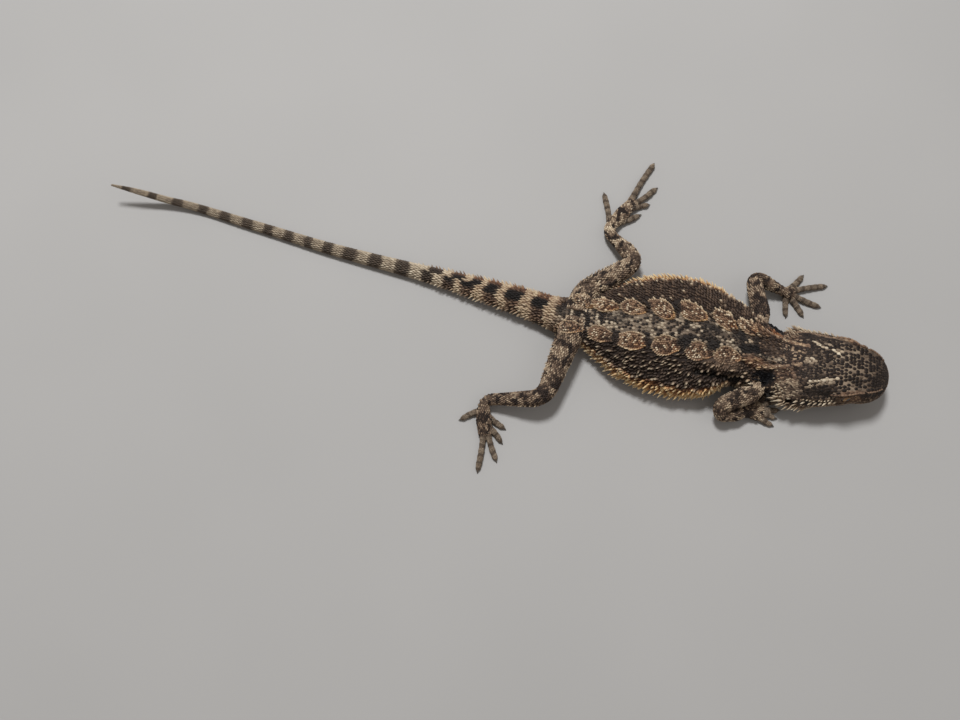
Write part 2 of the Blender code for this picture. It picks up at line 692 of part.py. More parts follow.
def toe(root, tip):
    """A toe along the floor with a low knuckle, which narrows into a claw."""
    root, tip = np.array(root), np.array(tip)
    reach = np.linalg.norm(tip - root)
    ahead = (tip - root) / reach
    rows = [(reach, TOE_ROOT_RADIUS, 0.75), (reach * 0.62, 0.7, 0.62 + TOE_KNUCKLE * 0.6)]
    rows += [row for row in (*TOE, *CLAW) if row[0] < reach * 0.55]
    places = np.array([(*(tip - ahead * back), height) for back, _, height in rows])
    directions = np.tile([*ahead, 0.0], (len(rows), 1))
    radius = np.array([row[1] for row in rows])
    return tube("toe", places, directions, radius, radius * 0.95, TOE_SIDES)


def floor_block(middle):
    """A block under the floor, to cut a foot's flats with."""
    half, deep = 22.0, 6.0
    corners = [middle + Vector((x * half, y * half, z * deep))
               for z in (-1, 0) for x, y in ((-1, -1), (1, -1), (1, 1), (-1, 1))]
    faces = [(3, 2, 1, 0), (4, 5, 6, 7)]
    faces += [(j, (j + 1) % 4, 4 + (j + 1) % 4, 4 + j) for j in range(4)]
    return mesh_object("floor_block", corners, faces)


def build_limb(limb, run, marks, material, draw):
    """The upper bone, cut clear of the body and of the folded lower one, then the lower bone
    and the foot with its toes.
    """
    names, widths = limb["nodes"], limb["widths"]
    knee = sum(marks[i] for i in limb["elbow"]) / 2
    ankle = marks[-2] - limb["corners"][-1]
    upper = bone("upper", run, 0.0, knee - GAP / 2, widths[0])
    if names[0].startswith("thigh"):
        apply_boolean(upper, thigh_spines(run, marks[1], knee, widths[0], draw), "UNION")
    cutters = [
        body_length("cutter", TORSO_TAIL - 12.0, HEAD_NECK, 48, 40, grow=GAP + 0.05),
        bone("cutter", run, knee + GAP / 2, ankle - GAP / 2, widths[1], grow=GAP),
    ]
    apply_boolean(upper, cutters, "DIFFERENCE")
    finish(upper, names[0], material)
    lower = bone("lower", run, knee + GAP / 2, ankle - GAP / 2, widths[1])
    finish(lower, names[1], material)
    sole = bone("sole", run, ankle + GAP / 2, marks[-1], widths[2], FOOT_FLATNESS)
    apply_boolean(sole, [toe(root, tip) for root, tip in limb["toes"]], "UNION")
    x, y, _ = limb["joints"][-1]
    apply_boolean(sole, [floor_block(Vector((x, y, 0.0)))], "DIFFERENCE")
    finish(sole, names[2], material)


def make_material(name, colour):
    material = bpy.data.materials.new(name)
    material.use_nodes = True
    shader = material.node_tree.nodes["Principled BSDF"]
    shader.inputs["Base Color"].default_value = (*colour, 1.0)
    shader.inputs["Roughness"].default_value = 0.12 if name == "eye" else 0.75
    shader.inputs["Metallic"].default_value = 0.0
    return material


def main():
    for thing in list(bpy.data.objects):
        bpy.data.objects.remove(thing)
    draw = random.Random(11)
    materials = {name: make_material(name, colour) for name, colour in COLOURS.items()}
    runs = limb_runs()
    balls = obstacles(runs)
    build_body(materials, balls, draw)
    build_head(materials["head"], materials["eye"], balls, draw)
    for name, limb in LIMBS.items():
        build_limb(limb, *runs[name], materials["limb"], draw)


main()
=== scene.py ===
import math

import bpy
import numpy as np
from mathutils import Matrix, Vector
from mathutils.bvhtree import BVHTree
from mathutils.kdtree import KDTree


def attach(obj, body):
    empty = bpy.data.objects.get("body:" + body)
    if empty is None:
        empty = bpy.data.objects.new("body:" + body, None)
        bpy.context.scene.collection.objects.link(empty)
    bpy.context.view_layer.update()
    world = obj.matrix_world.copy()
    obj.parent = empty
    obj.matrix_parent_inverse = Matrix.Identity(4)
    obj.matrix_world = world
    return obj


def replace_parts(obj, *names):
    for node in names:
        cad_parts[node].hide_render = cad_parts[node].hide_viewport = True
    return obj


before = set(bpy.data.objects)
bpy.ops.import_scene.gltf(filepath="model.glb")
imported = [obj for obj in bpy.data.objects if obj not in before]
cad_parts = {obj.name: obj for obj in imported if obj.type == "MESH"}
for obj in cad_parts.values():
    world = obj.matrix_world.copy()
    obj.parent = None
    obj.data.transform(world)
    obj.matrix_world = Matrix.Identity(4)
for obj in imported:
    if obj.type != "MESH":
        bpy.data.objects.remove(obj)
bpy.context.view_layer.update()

mm = 0.001  # shapes are worked out in millimetres and put into meshes in metres
dice = np.random.default_rng(7)
print("frame loaded:", len(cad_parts), "nodes")

# The trunk, neck, head and tail are one swept surface, with the same sizes as the frame's solids:
# x along the body, then half width, top, bottom and the height of the widest line.
bodyForm = {
    "middleLine": (
        (-140.1, 12.3), (-133.0, 12.45), (-124.0, 12.5), (-104.0, 10.4), (-84.0, 7.9), (-56.0, 5.4),
        (-36.0, 2.9), (-22.0, 0.9), (-8.0, 0.9), (6.0, 1.3), (14.0, 1.1), (20.0, -0.1),
        (26.0, -1.5), (31.0, -1.95), (38.0, -1.35), (51.6, -0.9),
    ),
    "sections": (
        (-140.1, 0.24, 6.25, 5.80, 6.02), (-133.4, 0.64, 4.90, 3.68, 4.28),
        (-125.0, 0.82, 2.75, 1.15, 1.95), (-115.0, 1.00, 1.95, 0.02, 0.98),
        (-104.0, 1.18, 2.20, -0.18, 1.02), (-92.0, 1.32, 2.48, -0.22, 1.12),
        (-78.0, 1.52, 2.85, -0.25, 1.30), (-65.0, 1.78, 3.35, -0.30, 1.52),
        (-52.0, 2.20, 4.10, -0.35, 1.85), (-39.0, 3.00, 5.20, -0.40, 2.30),
        (-29.0, 3.80, 6.20, -0.45, 2.65), (-25.0, 4.55, 6.90, -0.55, 2.90),
        (-21.0, 5.50, 7.80, -0.75, 3.10), (-16.0, 8.30, 8.80, -1.00, 3.20),
        (-10.0, 11.70, 9.80, -1.20, 3.30), (-4.0, 13.60, 10.50, -1.30, 3.40),
        (3.0, 14.50, 10.90, -1.30, 3.50), (9.0, 13.60, 10.90, -1.20, 3.70),
        (14.5, 11.10, 10.60, -0.90, 4.10), (19.0, 8.75, 10.20, -0.20, 4.70),
        (22.5, 8.20, 9.90, 0.60, 4.90), (25.0, 7.70, 10.10, 1.00, 5.10),
        (27.0, 8.10, 10.70, 1.20, 5.40), (29.5, 8.80, 11.40, 1.30, 5.30),
        (34.0, 8.95, 12.00, 1.60, 5.40), (40.0, 8.20, 11.80, 2.10, 5.60),
        (44.0, 6.95, 10.90, 2.60, 5.80),
    ),
    "tailTip": -140.1,
    "snout": 51.6,
    "noseStart": 44.0,
    "noseBluntness": 2.3,
    "bridgeSlope": (1.8, 0.58),
    "snoutHeight": 6.2,
    "ridgeSway": ((-30.0, 0.0), (-12.0, -1.0), (6.0, -1.2), (16.0, -0.9), (24.0, 0.0)),
    "underRoundness": 2.3,
    # swellings and hollows: x, angle up from the side, spread along x, spread in degrees, height
    "swellings": (
        (41.4, 44.0, 3.2, 10.0, 0.85),  # brow ridge
        (46.8, 46.0, 2.4, 10.0, 0.50),  # edge of the snout
        (46.6, 22.0, 2.4, 11.0, -0.28),  # hollow before the eye
        (41.6, 20.0, 2.4, 12.0, -0.35),  # eye socket
        (36.0, 32.0, 2.8, 10.0, -0.45),  # temple
        (30.5, -4.0, 3.0, 18.0, 0.55),  # jaw muscle
        (31.0, 58.0, 2.4, 12.0, 0.45),  # back of the skull
        (36.5, 90.0, 4.0, 13.0, -0.35),  # dip of the crown
        (44.5, 6.0, 8.0, 5.0, 0.16),  # upper lip
        (44.5, -12.0, 8.0, 6.0, 0.14),  # lower lip
        (28.5, -62.0, 3.2, 26.0, 0.45),  # beard
        (18.3, 42.0, 2.6, 20.0, 0.65),  # shoulder blade
        (-21.3, 38.0, 2.4, 20.0, 0.65),  # hip
        (-2.0, 74.0, 12.0, 7.0, -0.22),  # furrow beside the backbone
    ),
}

# Limbs, as in the frame: joints, how far back each bend begins, the joints at the elbow or knee,
# half widths along each bone, and the toes' roots and tips from the innermost.
limbForms = (
    dict(
        name="forelegLeft", front=True,
        joints=((20.2, 4.0, 5.4), (20.9, 9.5, 6.0), (18.1, 19.3, 4.6), (27.0, 17.7, 1.7),
                (29.3, 18.1, 0.95)),
        corners=(2.0, 3.7, 1.0), elbow=(2, 2),
        widths=(2.7, 2.25, 2.0, 1.85, 1.8, 1.7, 1.4, 1.15, 1.15, 1.3, 1.8, 1.45),
        toes=(((27.6, 16.9), (28.15, 12.3)), ((28.4, 17.1), (32.1, 13.1)),
              ((28.9, 17.7), (35.8, 16.1)), ((28.8, 18.6), (36.9, 21.7)),
              ((28.1, 19.0), (31.1, 23.2))),
    ),
    dict(
        name="forelegRight", front=True,
        joints=((20.4, -3.6, 5.8), (22.0, -9.4, 5.0), (14.5, -14.3, 5.0), (15.2, -16.1, 3.0),
                (21.3, -13.3, 1.65), (25.0, -12.7, 0.95)),
        corners=(2.0, 1.35, 1.35, 1.0), elbow=(2, 3),
        widths=(2.7, 2.35, 2.05, 1.8, 1.75, 1.7, 2.1, 1.65, 1.65, 1.85, 2.35, 1.9),
        toes=(((23.6, -11.4), (25.4, -8.6)), ((24.5, -11.5), (28.2, -9.5)),
              ((25.1, -12.3), (28.8, -11.6)), ((25.0, -13.4), (28.2, -13.6)),
              ((24.4, -14.2), (27.7, -15.4))),
    ),
    dict(
        name="hindlegLeft", front=False,
        joints=((-21.8, 1.5, 5.0), (-20.9, 7.2, 5.4), (-9.5, 17.4, 5.0), (-18.1, 25.3, 1.9),
                (-12.6, 35.0, 0.95)),
        corners=(2.0, 3.8, 2.6), elbow=(2, 2),
        widths=(3.3, 2.75, 2.5, 2.1, 2.05, 2.0, 1.65, 1.4, 1.4, 1.45, 1.8, 1.3),
        toes=(((-15.6, 28.2), (-10.6, 31.7)), ((-13.5, 32.3), (-8.9, 34.9)),
              ((-12.9, 33.6), (-7.5, 39.7)), ((-13.6, 34.2), (-9.1, 46.25)),
              ((-17.6, 28.2), (-20.1, 35.7))),
    ),
    dict(
        name="hindlegRight", front=False,
        joints=((-21.6, -0.5, 5.0), (-23.0, -6.0, 5.5), (-25.9, -20.6, 5.6), (-39.9, -22.6, 1.9),
                (-38.0, -30.8, 0.95)),
        corners=(2.0, 3.6, 2.6), elbow=(2, 2),
        widths=(3.3, 2.95, 2.5, 2.1, 2.05, 1.9, 1.6, 1.4, 1.4, 1.45, 1.9, 1.4),
        toes=(((-38.4, -25.8), (-33.9, -28.1)), ((-37.3, -28.6), (-33.9, -31.5)),
              ((-37.5, -29.7), (-34.3, -35.9)), ((-38.4, -30.0), (-38.0, -39.1)),
              ((-40.0, -25.0), (-44.1, -27.9))),
    ),
)
limbShape = {
    "crease": 0.62,  # inside a bend a limb reaches this share of the way to the bend's middle
    "flatness": (1, 1, 1, 1, 1, 1, 1, 1, 0.96, 0.85, 0.58, 0.6),
    # toes and claws: distance from the tip, radius, height of the middle line
    "toe": ((2.6, 0.74, 0.56), (0.75, 0.68, 0.50), (0.15, 0.50, 0.50), (-0.12, 0.20, 0.52)),
    "toeRoot": (0.84, 0.75),
    "knuckle": (0.62, 0.70, 0.872),  # share of the toe's length, radius, height
    "claw": ((0.6, 0.24, 0.50), (0.1, 0.30, 0.56), (-0.2, 0.25, 0.53), (-0.45, 0.16, 0.40),
             (-0.75, 0.03, 0.16)),
}


def unit(v):
    return v / np.maximum(np.linalg.norm(v, axis=-1, keepdims=True), 1e-9)


def eased(low, high, value):  # 0 below low, 1 above high, smooth between
    t = np.clip((value - low) / (high - low), 0.0, 1.0)
    return t * t * (3 - 2 * t)


def mixed(a, b, share):
    return a + (b - a) * share


# A monotone cubic through a table's points.
def curveThrough(table, column=1):
    x = np.array([row[0] for row in table], float)
    y = np.array([row[column] for row in table], float)
    step = np.diff(x)
    slope = np.diff(y) / step
    tangent = np.zeros(len(x))
    sameWay = slope[:-1] * slope[1:] > 0
    a, b = 2 * step[1:] + step[:-1], step[1:] + 2 * step[:-1]
    safe = np.where(sameWay, slope[:-1] * slope[1:], 1.0)
    mean = (a + b) * safe / (a * slope[1:] + b * slope[:-1] + (~sameWay))
    tangent[1:-1] = np.where(sameWay, mean, 0.0)
    tangent[0], tangent[-1] = slope[0], slope[-1]

    def value(at):
        at = np.clip(np.asarray(at, float), x[0], x[-1])
        i = np.clip(np.searchsorted(x, at) - 1, 0, len(x) - 2)
        t = (at - x[i]) / step[i]
        rise = (3 - 2 * t) * t * t
        bend = tangent[i] * (t - 1) ** 2 * t + tangent[i + 1] * (t - 1) * t * t
        return y[i] * (1 - rise) + y[i + 1] * rise + bend * step[i]

    return value


# Value noise from 0 to 1: random numbers on a cubic grid of the given size, blended between them.
def mottle(points, size, seed):
    place = points / size + seed * 17.31
    cell = np.floor(place).astype(np.int64)
    part = place - cell
    part = part * part * (3 - 2 * part)
    total = np.zeros(len(points))
    for corner in np.ndindex(2, 2, 2):
        c = cell + np.array(corner)
        key = (c[:, 0] * 73856093) ^ (c[:, 1] * 19349663) ^ (c[:, 2] * 83492791) ^ (seed * 6542989)
        key = ((key ^ (key >> 13)) * 1274126177) & 0x7FFFFFFF
        key = (key ^ (key >> 15)) & 0xFFFF
        total += key / 65535 * np.prod(np.where(np.array(corner) == 1, part, 1 - part), axis=1)
    return total


middleY = curveThrough(bodyForm["middleLine"])
sectionCurves = [curveThrough(bodyForm["sections"], column) for column in (1, 2, 3, 4)]
ridgeSway = curveThrough(bodyForm["ridgeSway"])


# A point of the body at x and an angle (0 the animal's left, 90 the back): the section is two half
# superellipses that meet at its widest line, pushed out along the radius by the swellings, and
# laid flat on the floor. grow moves the surface outwards.
def bodySurface(x, degrees, grow=0.0):
    x, degrees, grow = np.broadcast_arrays(np.asarray(x, float), np.asarray(degrees, float), grow)
    width, top, under, widest = (curve(x) for curve in sectionCurves)
    along = np.clip((x - bodyForm["noseStart"]) / (bodyForm["snout"] - bodyForm["noseStart"]), 0, 1)
    close = np.sqrt(1 - along ** bodyForm["noseBluntness"])
    steep, bulge = bodyForm["bridgeSlope"]
    width = width * close
    widest = mixed(bodyForm["snoutHeight"], widest, close)
    top = widest + (top - widest) * (1 - along**steep) ** bulge
    under = widest - (widest - under) * close
    turn = np.radians(degrees)
    side, rise = np.cos(turn), np.sin(turn)
    upper = rise >= 0
    power = np.where(upper, 1.0, 2.0 / bodyForm["underRoundness"])
    across = np.sign(side) * np.abs(side) ** power
    climb = np.sign(rise) * np.abs(rise) ** power
    reach = np.where(upper, top - widest, widest - under) + grow
    folded = np.degrees(np.arctan2(rise, np.abs(side)))
    swell = sum(
        height * np.exp(-(((x - at) / spread) ** 2 + ((folded - angle) / wide) ** 2))
        for at, angle, spread, wide, height in bodyForm["swellings"]
    ) * np.clip(close, 0.2, 1)
    y = (width + grow) * across + swell * side + np.where(upper, ridgeSway(x) * climb, 0.0)
    z = np.maximum(widest + reach * climb + swell * rise, -grow)
    slope = middleY(x + 0.5) - middleY(x - 0.5)
    length = np.hypot(1.0, slope)
    return np.stack([x - y * slope / length, middleY(x) + y / length, z], -1)


# Points along straight bones whose corners are rounded by quadratic curves, and how far along
# the run each joint lies.
def roundedRun(joints, corners):
    joints = np.array(joints, float)
    points, marks = [joints[0]], [0.0]

    def runLength(run):
        return np.linalg.norm(np.diff(np.array(run), axis=0), axis=1).sum()

    for before, joint, after, corner in zip(joints, joints[1:], joints[2:], corners):
        start = joint + unit(before - joint) * corner
        end = joint + unit(after - joint) * corner
        t = np.linspace(0, 1, 11)[:, None]
        bend = start * (1 - t) ** 2 + 2 * joint * t * (1 - t) + end * t * t
        points += [*np.linspace(points[-1], start, 12)[1:-1], *bend[:6]]
        marks.append(runLength(points))
        points += list(bend[6:])
    points += list(np.linspace(points[-1], joints[-1], 12)[1:])
    marks.append(runLength(points))
    return np.array(points), marks


# A limb's surface at a distance along it and an angle (90 is its top): an ellipse across the run,
# cut short inside a sharp bend so that no two sections cross.
def limbSurface(limb):
    run, marks = roundedRun(limb["joints"], limb["corners"])
    away = np.append(0.0, np.cumsum(np.linalg.norm(np.diff(run, axis=0), axis=1)))
    knee = sum(marks[i] for i in limb["elbow"]) / 2
    ankle = marks[-2] - limb["corners"][-1]
    end = marks[-1]
    stations = np.concatenate([np.linspace(0, knee, 4), np.linspace(knee + 0.2, ankle, 4),
                               np.linspace(ankle + 0.1, end, 4)])

    def at(s):
        return np.stack([np.interp(s, away, run[:, k]) for k in range(3)], -1)

    def surface(s, degrees, grow=0.0):
        s, degrees = np.broadcast_arrays(np.asarray(s, float), np.asarray(degrees, float))
        reach = 0.6
        ahead = unit(at(s + reach) - at(s - reach))
        bend = (at(s + reach) + at(s - reach) - 2 * at(s)) / reach**2
        bend[(s < reach) | (s > end - reach)] = 0.0
        sideways = unit(np.cross([0.0, 0.0, 1.0], ahead))
        upwards = np.cross(ahead, sideways)
        turn = np.radians(degrees)[..., None]
        half = np.interp(s, stations, limb["widths"])[..., None]
        high = half * np.interp(s, stations, limbShape["flatness"])[..., None]
        out = (half + grow) * np.cos(turn) * sideways + (high + grow) * np.sin(turn) * upwards
        tight = np.linalg.norm(bend, axis=-1, keepdims=True) + 1e-6
        inner = (out * bend / tight).sum(-1, keepdims=True)
        out = out - bend / tight * np.maximum(inner - limbShape["crease"] / tight - grow, 0.0)
        place = at(s) + out
        place[..., 2] = np.maximum(place[..., 2], -grow)
        return place

    return surface, end


# A toe's surface at a distance from its root: circles along the floor, whose radius swells a
# little at each joint, in a slight sideways bow.
def toeSurface(root, tip, bow):
    root, tip = np.array([*root, 0.0]), np.array([*tip, 0.0])
    reach = np.linalg.norm(tip - root)
    ahead = (tip - root) / reach
    sideways = np.array([-ahead[1], ahead[0], 0.0])
    share, radius, height = limbShape["knuckle"]
    rows = [(reach, *limbShape["toeRoot"]), (reach * share, radius, height)]
    rows += [row for row in limbShape["toe"] if row[0] < reach * 0.55]
    rows = [(reach - back, radius, height) for back, radius, height in rows]
    radiusAt, heightAt = curveThrough(rows, 1), curveThrough(rows, 2)

    def surface(t, degrees, grow=0.0):
        t, degrees = np.broadcast_arrays(np.asarray(t, float), np.asarray(degrees, float))
        turn = np.radians(degrees)
        swell = 1 + 0.06 * np.cos(t * 2 * math.pi / 1.5) * (t < reach - 0.5)
        radius = np.maximum(radiusAt(t) * swell + grow * np.minimum(radiusAt(t) / 0.5, 1), 0.05)
        bowed = bow * np.sin(math.pi * np.clip(t / reach, 0, 1))
        across = radius * np.cos(turn) + bowed
        place = root + ahead * t[..., None] + sideways * across[..., None]
        lowest = max(-grow, 0.0) * 0.5
        place[..., 2] = np.maximum(heightAt(t) + radius * 0.95 * np.sin(turn), lowest)
        return place

    return surface, reach + 0.1


def addValues(mesh, values):  # one number for each point, under each label
    for label, value in values.items():
        layer = mesh.attributes.new(label, "FLOAT", "POINT")
        layer.data.foreach_set("value", np.asarray(value, np.float32))


# A mesh object from points in millimetres and faces given as one list of corners and each
# face's number of corners.
def meshPiece(name, points, corners, sizes, values=None, bakeMap=None):
    mesh = bpy.data.meshes.new(name)
    corners = np.asarray(corners, np.int32)
    sizes = np.asarray(sizes, np.int32)
    mesh.vertices.add(len(points))
    mesh.vertices.foreach_set("co", (np.asarray(points) * mm).astype(np.float32).ravel())
    mesh.loops.add(len(corners))
    mesh.loops.foreach_set("vertex_index", corners)
    mesh.polygons.add(len(sizes))
    mesh.polygons.foreach_set("loop_start", np.append(0, np.cumsum(sizes)[:-1]).astype(np.int32))
    mesh.polygons.foreach_set("use_smooth", np.ones(len(sizes), bool))
    mesh.update(calc_edges=True)
    addValues(mesh, values or {})
    if bakeMap is not None:
        layer = mesh.uv_layers.new(name="OFBake")
        layer.uv.foreach_set("vector", bakeMap[corners].astype(np.float32).ravel())
    piece = bpy.data.objects.new(name, mesh)
    bpy.context.scene.collection.objects.link(piece)
    return piece


# The faces between closed rings of points, and to the two points after them that close the ends.
def shellFaces(count, sides):
    i, j = np.meshgrid(np.arange(count - 1), np.arange(sides), indexing="ij")
    k = (j + 1) % sides
    quads = np.stack([i * sides + j, i * sides + k, (i + 1) * sides + k, (i + 1) * sides + j], -1)
    j, k = j[0], k[0]
    start, end = count * sides, (count - 1) * sides
    caps = (np.stack([k, j, np.full(sides, start)], -1),
            np.stack([end + j, end + k, np.full(sides, start + 1)], -1))
    corners = np.concatenate([faces.ravel() for faces in (quads, *caps)])
    return corners, np.repeat([4, 3], [quads.size // 4, 2 * sides])


# A closed shell round a surface: rings at the given distances, and a point to close each end.
def shellOf(surface, stations, sides, grow):
    rings = surface(stations[:, None], np.arange(sides)[None, :] * 360 / sides, grow)
    points = np.concatenate([rings.reshape(-1, 3), [rings[0].mean(0)], [rings[-1].mean(0)]])
    return points, *shellFaces(len(stations), sides)


def joinedShells(shells):
    points, corners, sizes = zip(*shells)
    starts = np.cumsum([0, *map(len, points[:-1])])
    corners = [faces + start for faces, start in zip(corners, starts)]
    return tuple(np.concatenate(values) for values in (points, corners, sizes))


def applyModifiers(piece):
    graph = bpy.context.evaluated_depsgraph_get()
    mesh = bpy.data.meshes.new_from_object(piece.evaluated_get(graph))
    piece.modifiers.clear()
    piece.data = mesh


def numbersOf(items, label, width=3):
    found = np.empty(len(items) * width, np.float32)
    items.foreach_get(label, found)
    return found.reshape(-1, width).astype(float)


# The largest joined part of a piece, in triangles: each point takes the lowest number in its
# triangles until nothing changes.
def largestPart(piece):
    name, mesh = piece.name, piece.data
    points = numbersOf(mesh.vertices, "co") / mm
    mesh.calc_loop_triangles()
    corners = np.empty(3 * len(mesh.loop_triangles), np.int32)
    mesh.loop_triangles.foreach_get("vertices", corners)
    triangles = corners.reshape(-1, 3)
    part, before = np.arange(len(points)), None
    while before is None or (part != before).any():
        before = part.copy()
        np.minimum.at(part, triangles.ravel(), np.repeat(part[triangles].min(1), 3))
        part = part[part]
    kept = triangles[part[triangles[:, 0]] == np.bincount(part).argmax()]
    used, corners = np.unique(kept, return_inverse=True)
    bpy.data.objects.remove(piece)
    return meshPiece(name, points[used], corners.reshape(-1), np.full(len(kept), 3))


# Where the markings lie, with some painted shade among the lines and blots.
markings = {
    # pale patches of the back: x, y, half length, half width, turn
    "patches": (
        (-20.6, 3.8, 2.6, 1.5, -10), (-15.9, 3.7, 3.1, 1.7, -8), (-9.4, 4.0, 3.0, 1.9, -8),
        (-2.7, 4.7, 3.5, 2.0, -30), (4.2, 5.2, 3.6, 2.2, -20), (12.0, 4.6, 3.6, 1.9, -40),
        (17.5, 4.1, 2.6, 1.6, -25),
        (-23.4, -3.1, 3.4, 1.5, 2), (-15.7, -3.5, 3.3, 1.6, -12), (-8.8, -4.1, 4.1, 2.0, 2),
        (-0.6, -4.0, 3.5, 2.2, 12), (7.0, -4.1, 3.3, 2.1, 4), (13.4, -3.9, 3.1, 2.1, 8),
    ),
    "patchPower": 1.6,  # under 2: pointed at the ends
    "patchWave": 0.07,
    "patchEdge": (0.93, 1.07),
    # other marks: x, y, half length, half width, turn, tone, warmth, black, strength
    "blots": (
        (0.8, 5.6, 1.0, 1.6, 10, 0.07, 0.1, 0.3, 0.8),
        (3.3, -2.6, 1.8, 1.5, 20, 0.08, 0.0, 0.4, 0.8),
        (9.8, -2.2, 1.8, 1.2, 25, 0.09, 0.0, 0.4, 0.7),
        (18.4, -1.0, 2.8, 1.1, 12, 0.07, 0.0, 0.6, 0.9),
        (15.6, 1.7, 2.4, 1.0, -20, 0.09, 0.0, 0.5, 0.75),
        (9.0, 2.2, 1.5, 1.0, -30, 0.10, 0.0, 0.4, 0.7),
        (-12.4, 0.9, 2.2, 1.6, 0, 0.14, 0.0, 0.2, 0.45),
        (-12.3, -3.9, 0.9, 1.7, 10, 0.08, 0.1, 0.3, 0.8),
        (-4.9, -3.5, 0.9, 1.6, 10, 0.08, 0.1, 0.3, 0.8),
        (-6.0, 4.6, 0.8, 1.8, 10, 0.08, 0.1, 0.3, 0.7),
        (-25.0, 0.9, 1.8, 1.5, 0, 0.16, 0.0, 0.2, 0.5),
        (23.6, 0.2, 3.6, 2.0, -14, 0.20, 0.22, 0.1, 0.8),
        (20.2, 4.2, 2.6, 1.2, -24, 0.50, 0.40, 0.0, 0.6),
        (19.8, -3.9, 3.0, 1.3, 0, 0.48, 0.48, 0.0, 0.75),
        (27.0, -5.9, 2.4, 1.9, -35, 0.27, 0.34, 0.0, 0.75),
        (12.8, -6.0, 4.2, 1.5, 6, 0.42, 0.20, 0.0, 0.8),
        (27.6, 4.4, 2.2, 1.7, -20, 0.27, 0.30, 0.0, 0.7),
        # the next two blots: black collar marks, deepened with painted shade in the hollows of the
        # neck
        (24.1, 6.7, 2.9, 1.35, -36, 0.02, 0.0, 1.0, 1.0),
        (22.5, -6.9, 2.5, 1.6, 14, 0.02, 0.0, 1.0, 1.0),
        # painted shade between the right arm and the jaw, laid on the arm as well
        (23.8, -10.2, 2.6, 1.5, 20, 0.05, 0.15, 0.6, 0.9),
        (28.4, -8.5, 2.8, 1.9, -12, 0.50, 0.15, 0.0, 0.9),
        (24.3, 4.3, 1.8, 0.45, -28, 0.47, 0.85, 0.0, 0.9),
        (31.8, -1.8, 1.5, 0.7, 10, 0.74, 0.12, 0.0, 0.8),
        (41.6, 5.3, 2.4, 0.8, -16, 0.50, 0.42, 0.0, 0.6),
        (42.8, -7.6, 3.0, 0.9, 6, 0.44, 0.42, 0.0, 0.6),
    ),
    # narrow marks seen from above: points x, y, then half width, tone, warmth, strength
    "lines": (
        (((32.4, 3.1), (34.8, 2.1), (37.2, 1.6), (38.9, 0.5)), 0.28, 0.84, 0.12, 1.0),
        (((33.4, 4.2), (35.6, 3.2), (37.8, 2.5), (39.4, 1.3)), 0.20, 0.74, 0.12, 0.9),
        (((32.1, -6.9), (35.6, -5.5), (38.6, -4.6)), 0.28, 0.84, 0.12, 1.0),
        (((31.6, -7.9), (35.0, -6.6), (38.2, -5.8)), 0.22, 0.76, 0.12, 0.9),
        (((27.6, 5.9), (32.1, 6.2), (37.7, 5.6), (41.3, 5.0)), 0.42, 0.60, 0.25, 0.75),
        (((28.4, 4.5), (32.6, 4.5), (37.4, 3.5)), 0.60, 0.14, 0.1, 0.6),
        (((29.7, -9.4), (33.9, -8.4), (38.3, -6.9)), 0.60, 0.14, 0.1, 0.6),
        # painted shadow: a dark line under the row of white spines on the right side of the head
        (((29.0, -10.8), (32.9, -10.6), (36.9, -9.9)), 0.26, 0.05, 0.1, 0.8),
        # painted shade: a near-black line in the furrow under the right shoulder's lump
        (((7.6, -8.5), (10.5, -8.3), (13.7, -7.9), (17.5, -7.6)), 0.50, 0.02, 0.0, 1.0),
        (((24.6, 3.6), (26.4, 2.6), (28.8, 1.9), (31.2, 1.7)), 0.40, 0.66, 0.34, 0.85),
        (((20.6, 5.0), (22.6, 4.0), (24.8, 3.2)), 0.36, 0.62, 0.42, 0.8),
        (((21.0, -4.8), (24.5, -4.2), (26.9, -3.9), (29.9, -3.0)), 0.42, 0.68, 0.30, 0.85),
        (((17.2, -2.6), (19.4, -2.4), (21.4, -3.0)), 0.28, 0.62, 0.3, 0.7),
        (((28.0, -4.2), (29.2, -6.2), (29.6, -8.4)), 0.34, 0.58, 0.22, 0.6),
        (((14.1, -10.0), (17.2, -8.7), (19.6, -8.3), (21.8, -8.6), (24.2, -7.6)),
         0.20, 0.80, 0.1, 0.9),
    ),
    # half width of the band along the backbone
    "band": ((-28.0, 2.4), (-18.0, 3.2), (-6.0, 4.0), (8.0, 4.2), (16.0, 3.2), (24.0, 1.6)),
    # the tail's dark bands, counted from the root: x, number
    "bandCount": ((-140.1, 18.65), (-136.5, 18.0), (-117.8, 15.0), (-100.3, 12.0), (-78.8, 8.0),
                  (-59.2, 5.0), (-43.5, 2.0), (-31.2, 0.0), (-25.0, -1.1)),
    "bandShare": 0.43,
    # how much paler each limb is, and its lower length over that
    "limbLift": ((0.01, 0.0), (0.08, 0.0), (0.10, 0.08), (0.06, -0.10)),
}


# 1 on the rim of an oval at x, y with half length, half width and turn, and 0 at its middle. Three
# cosine waves run round the rim.
def ovalReach(x, y, spot, power=2.0, wave=0.0):
    cx, cy, length, width, turn = spot[:5]
    c, s = math.cos(math.radians(turn)), math.sin(math.radians(turn))
    u, v = ((x - cx) * c + (y - cy) * s) / length, ((y - cy) * c - (x - cx) * s) / width
    reach = (np.abs(u) ** power + np.abs(v) ** power) ** (1 / power)
    return reach * (1 + wave * np.cos(3 * np.arctan2(v, u) + 5 * cx))


def patchReach(x, y, patch):
    return ovalReach(x, y, patch, markings["patchPower"], markings["patchWave"])


# Distance from a line of straight lengths, in as many of the coordinates as its points have.
def awayFrom(points, line):
    line = np.array(line, float)
    points = points[:, :line.shape[1]]
    away = np.full(len(points), 1e9)
    for start, run in zip(line, np.diff(line, axis=0)):
        t = np.clip((points - start) @ run / (run @ run), 0, 1)
        away = np.minimum(away, np.linalg.norm(points - start - t[:, None] * run, axis=1))
    return away


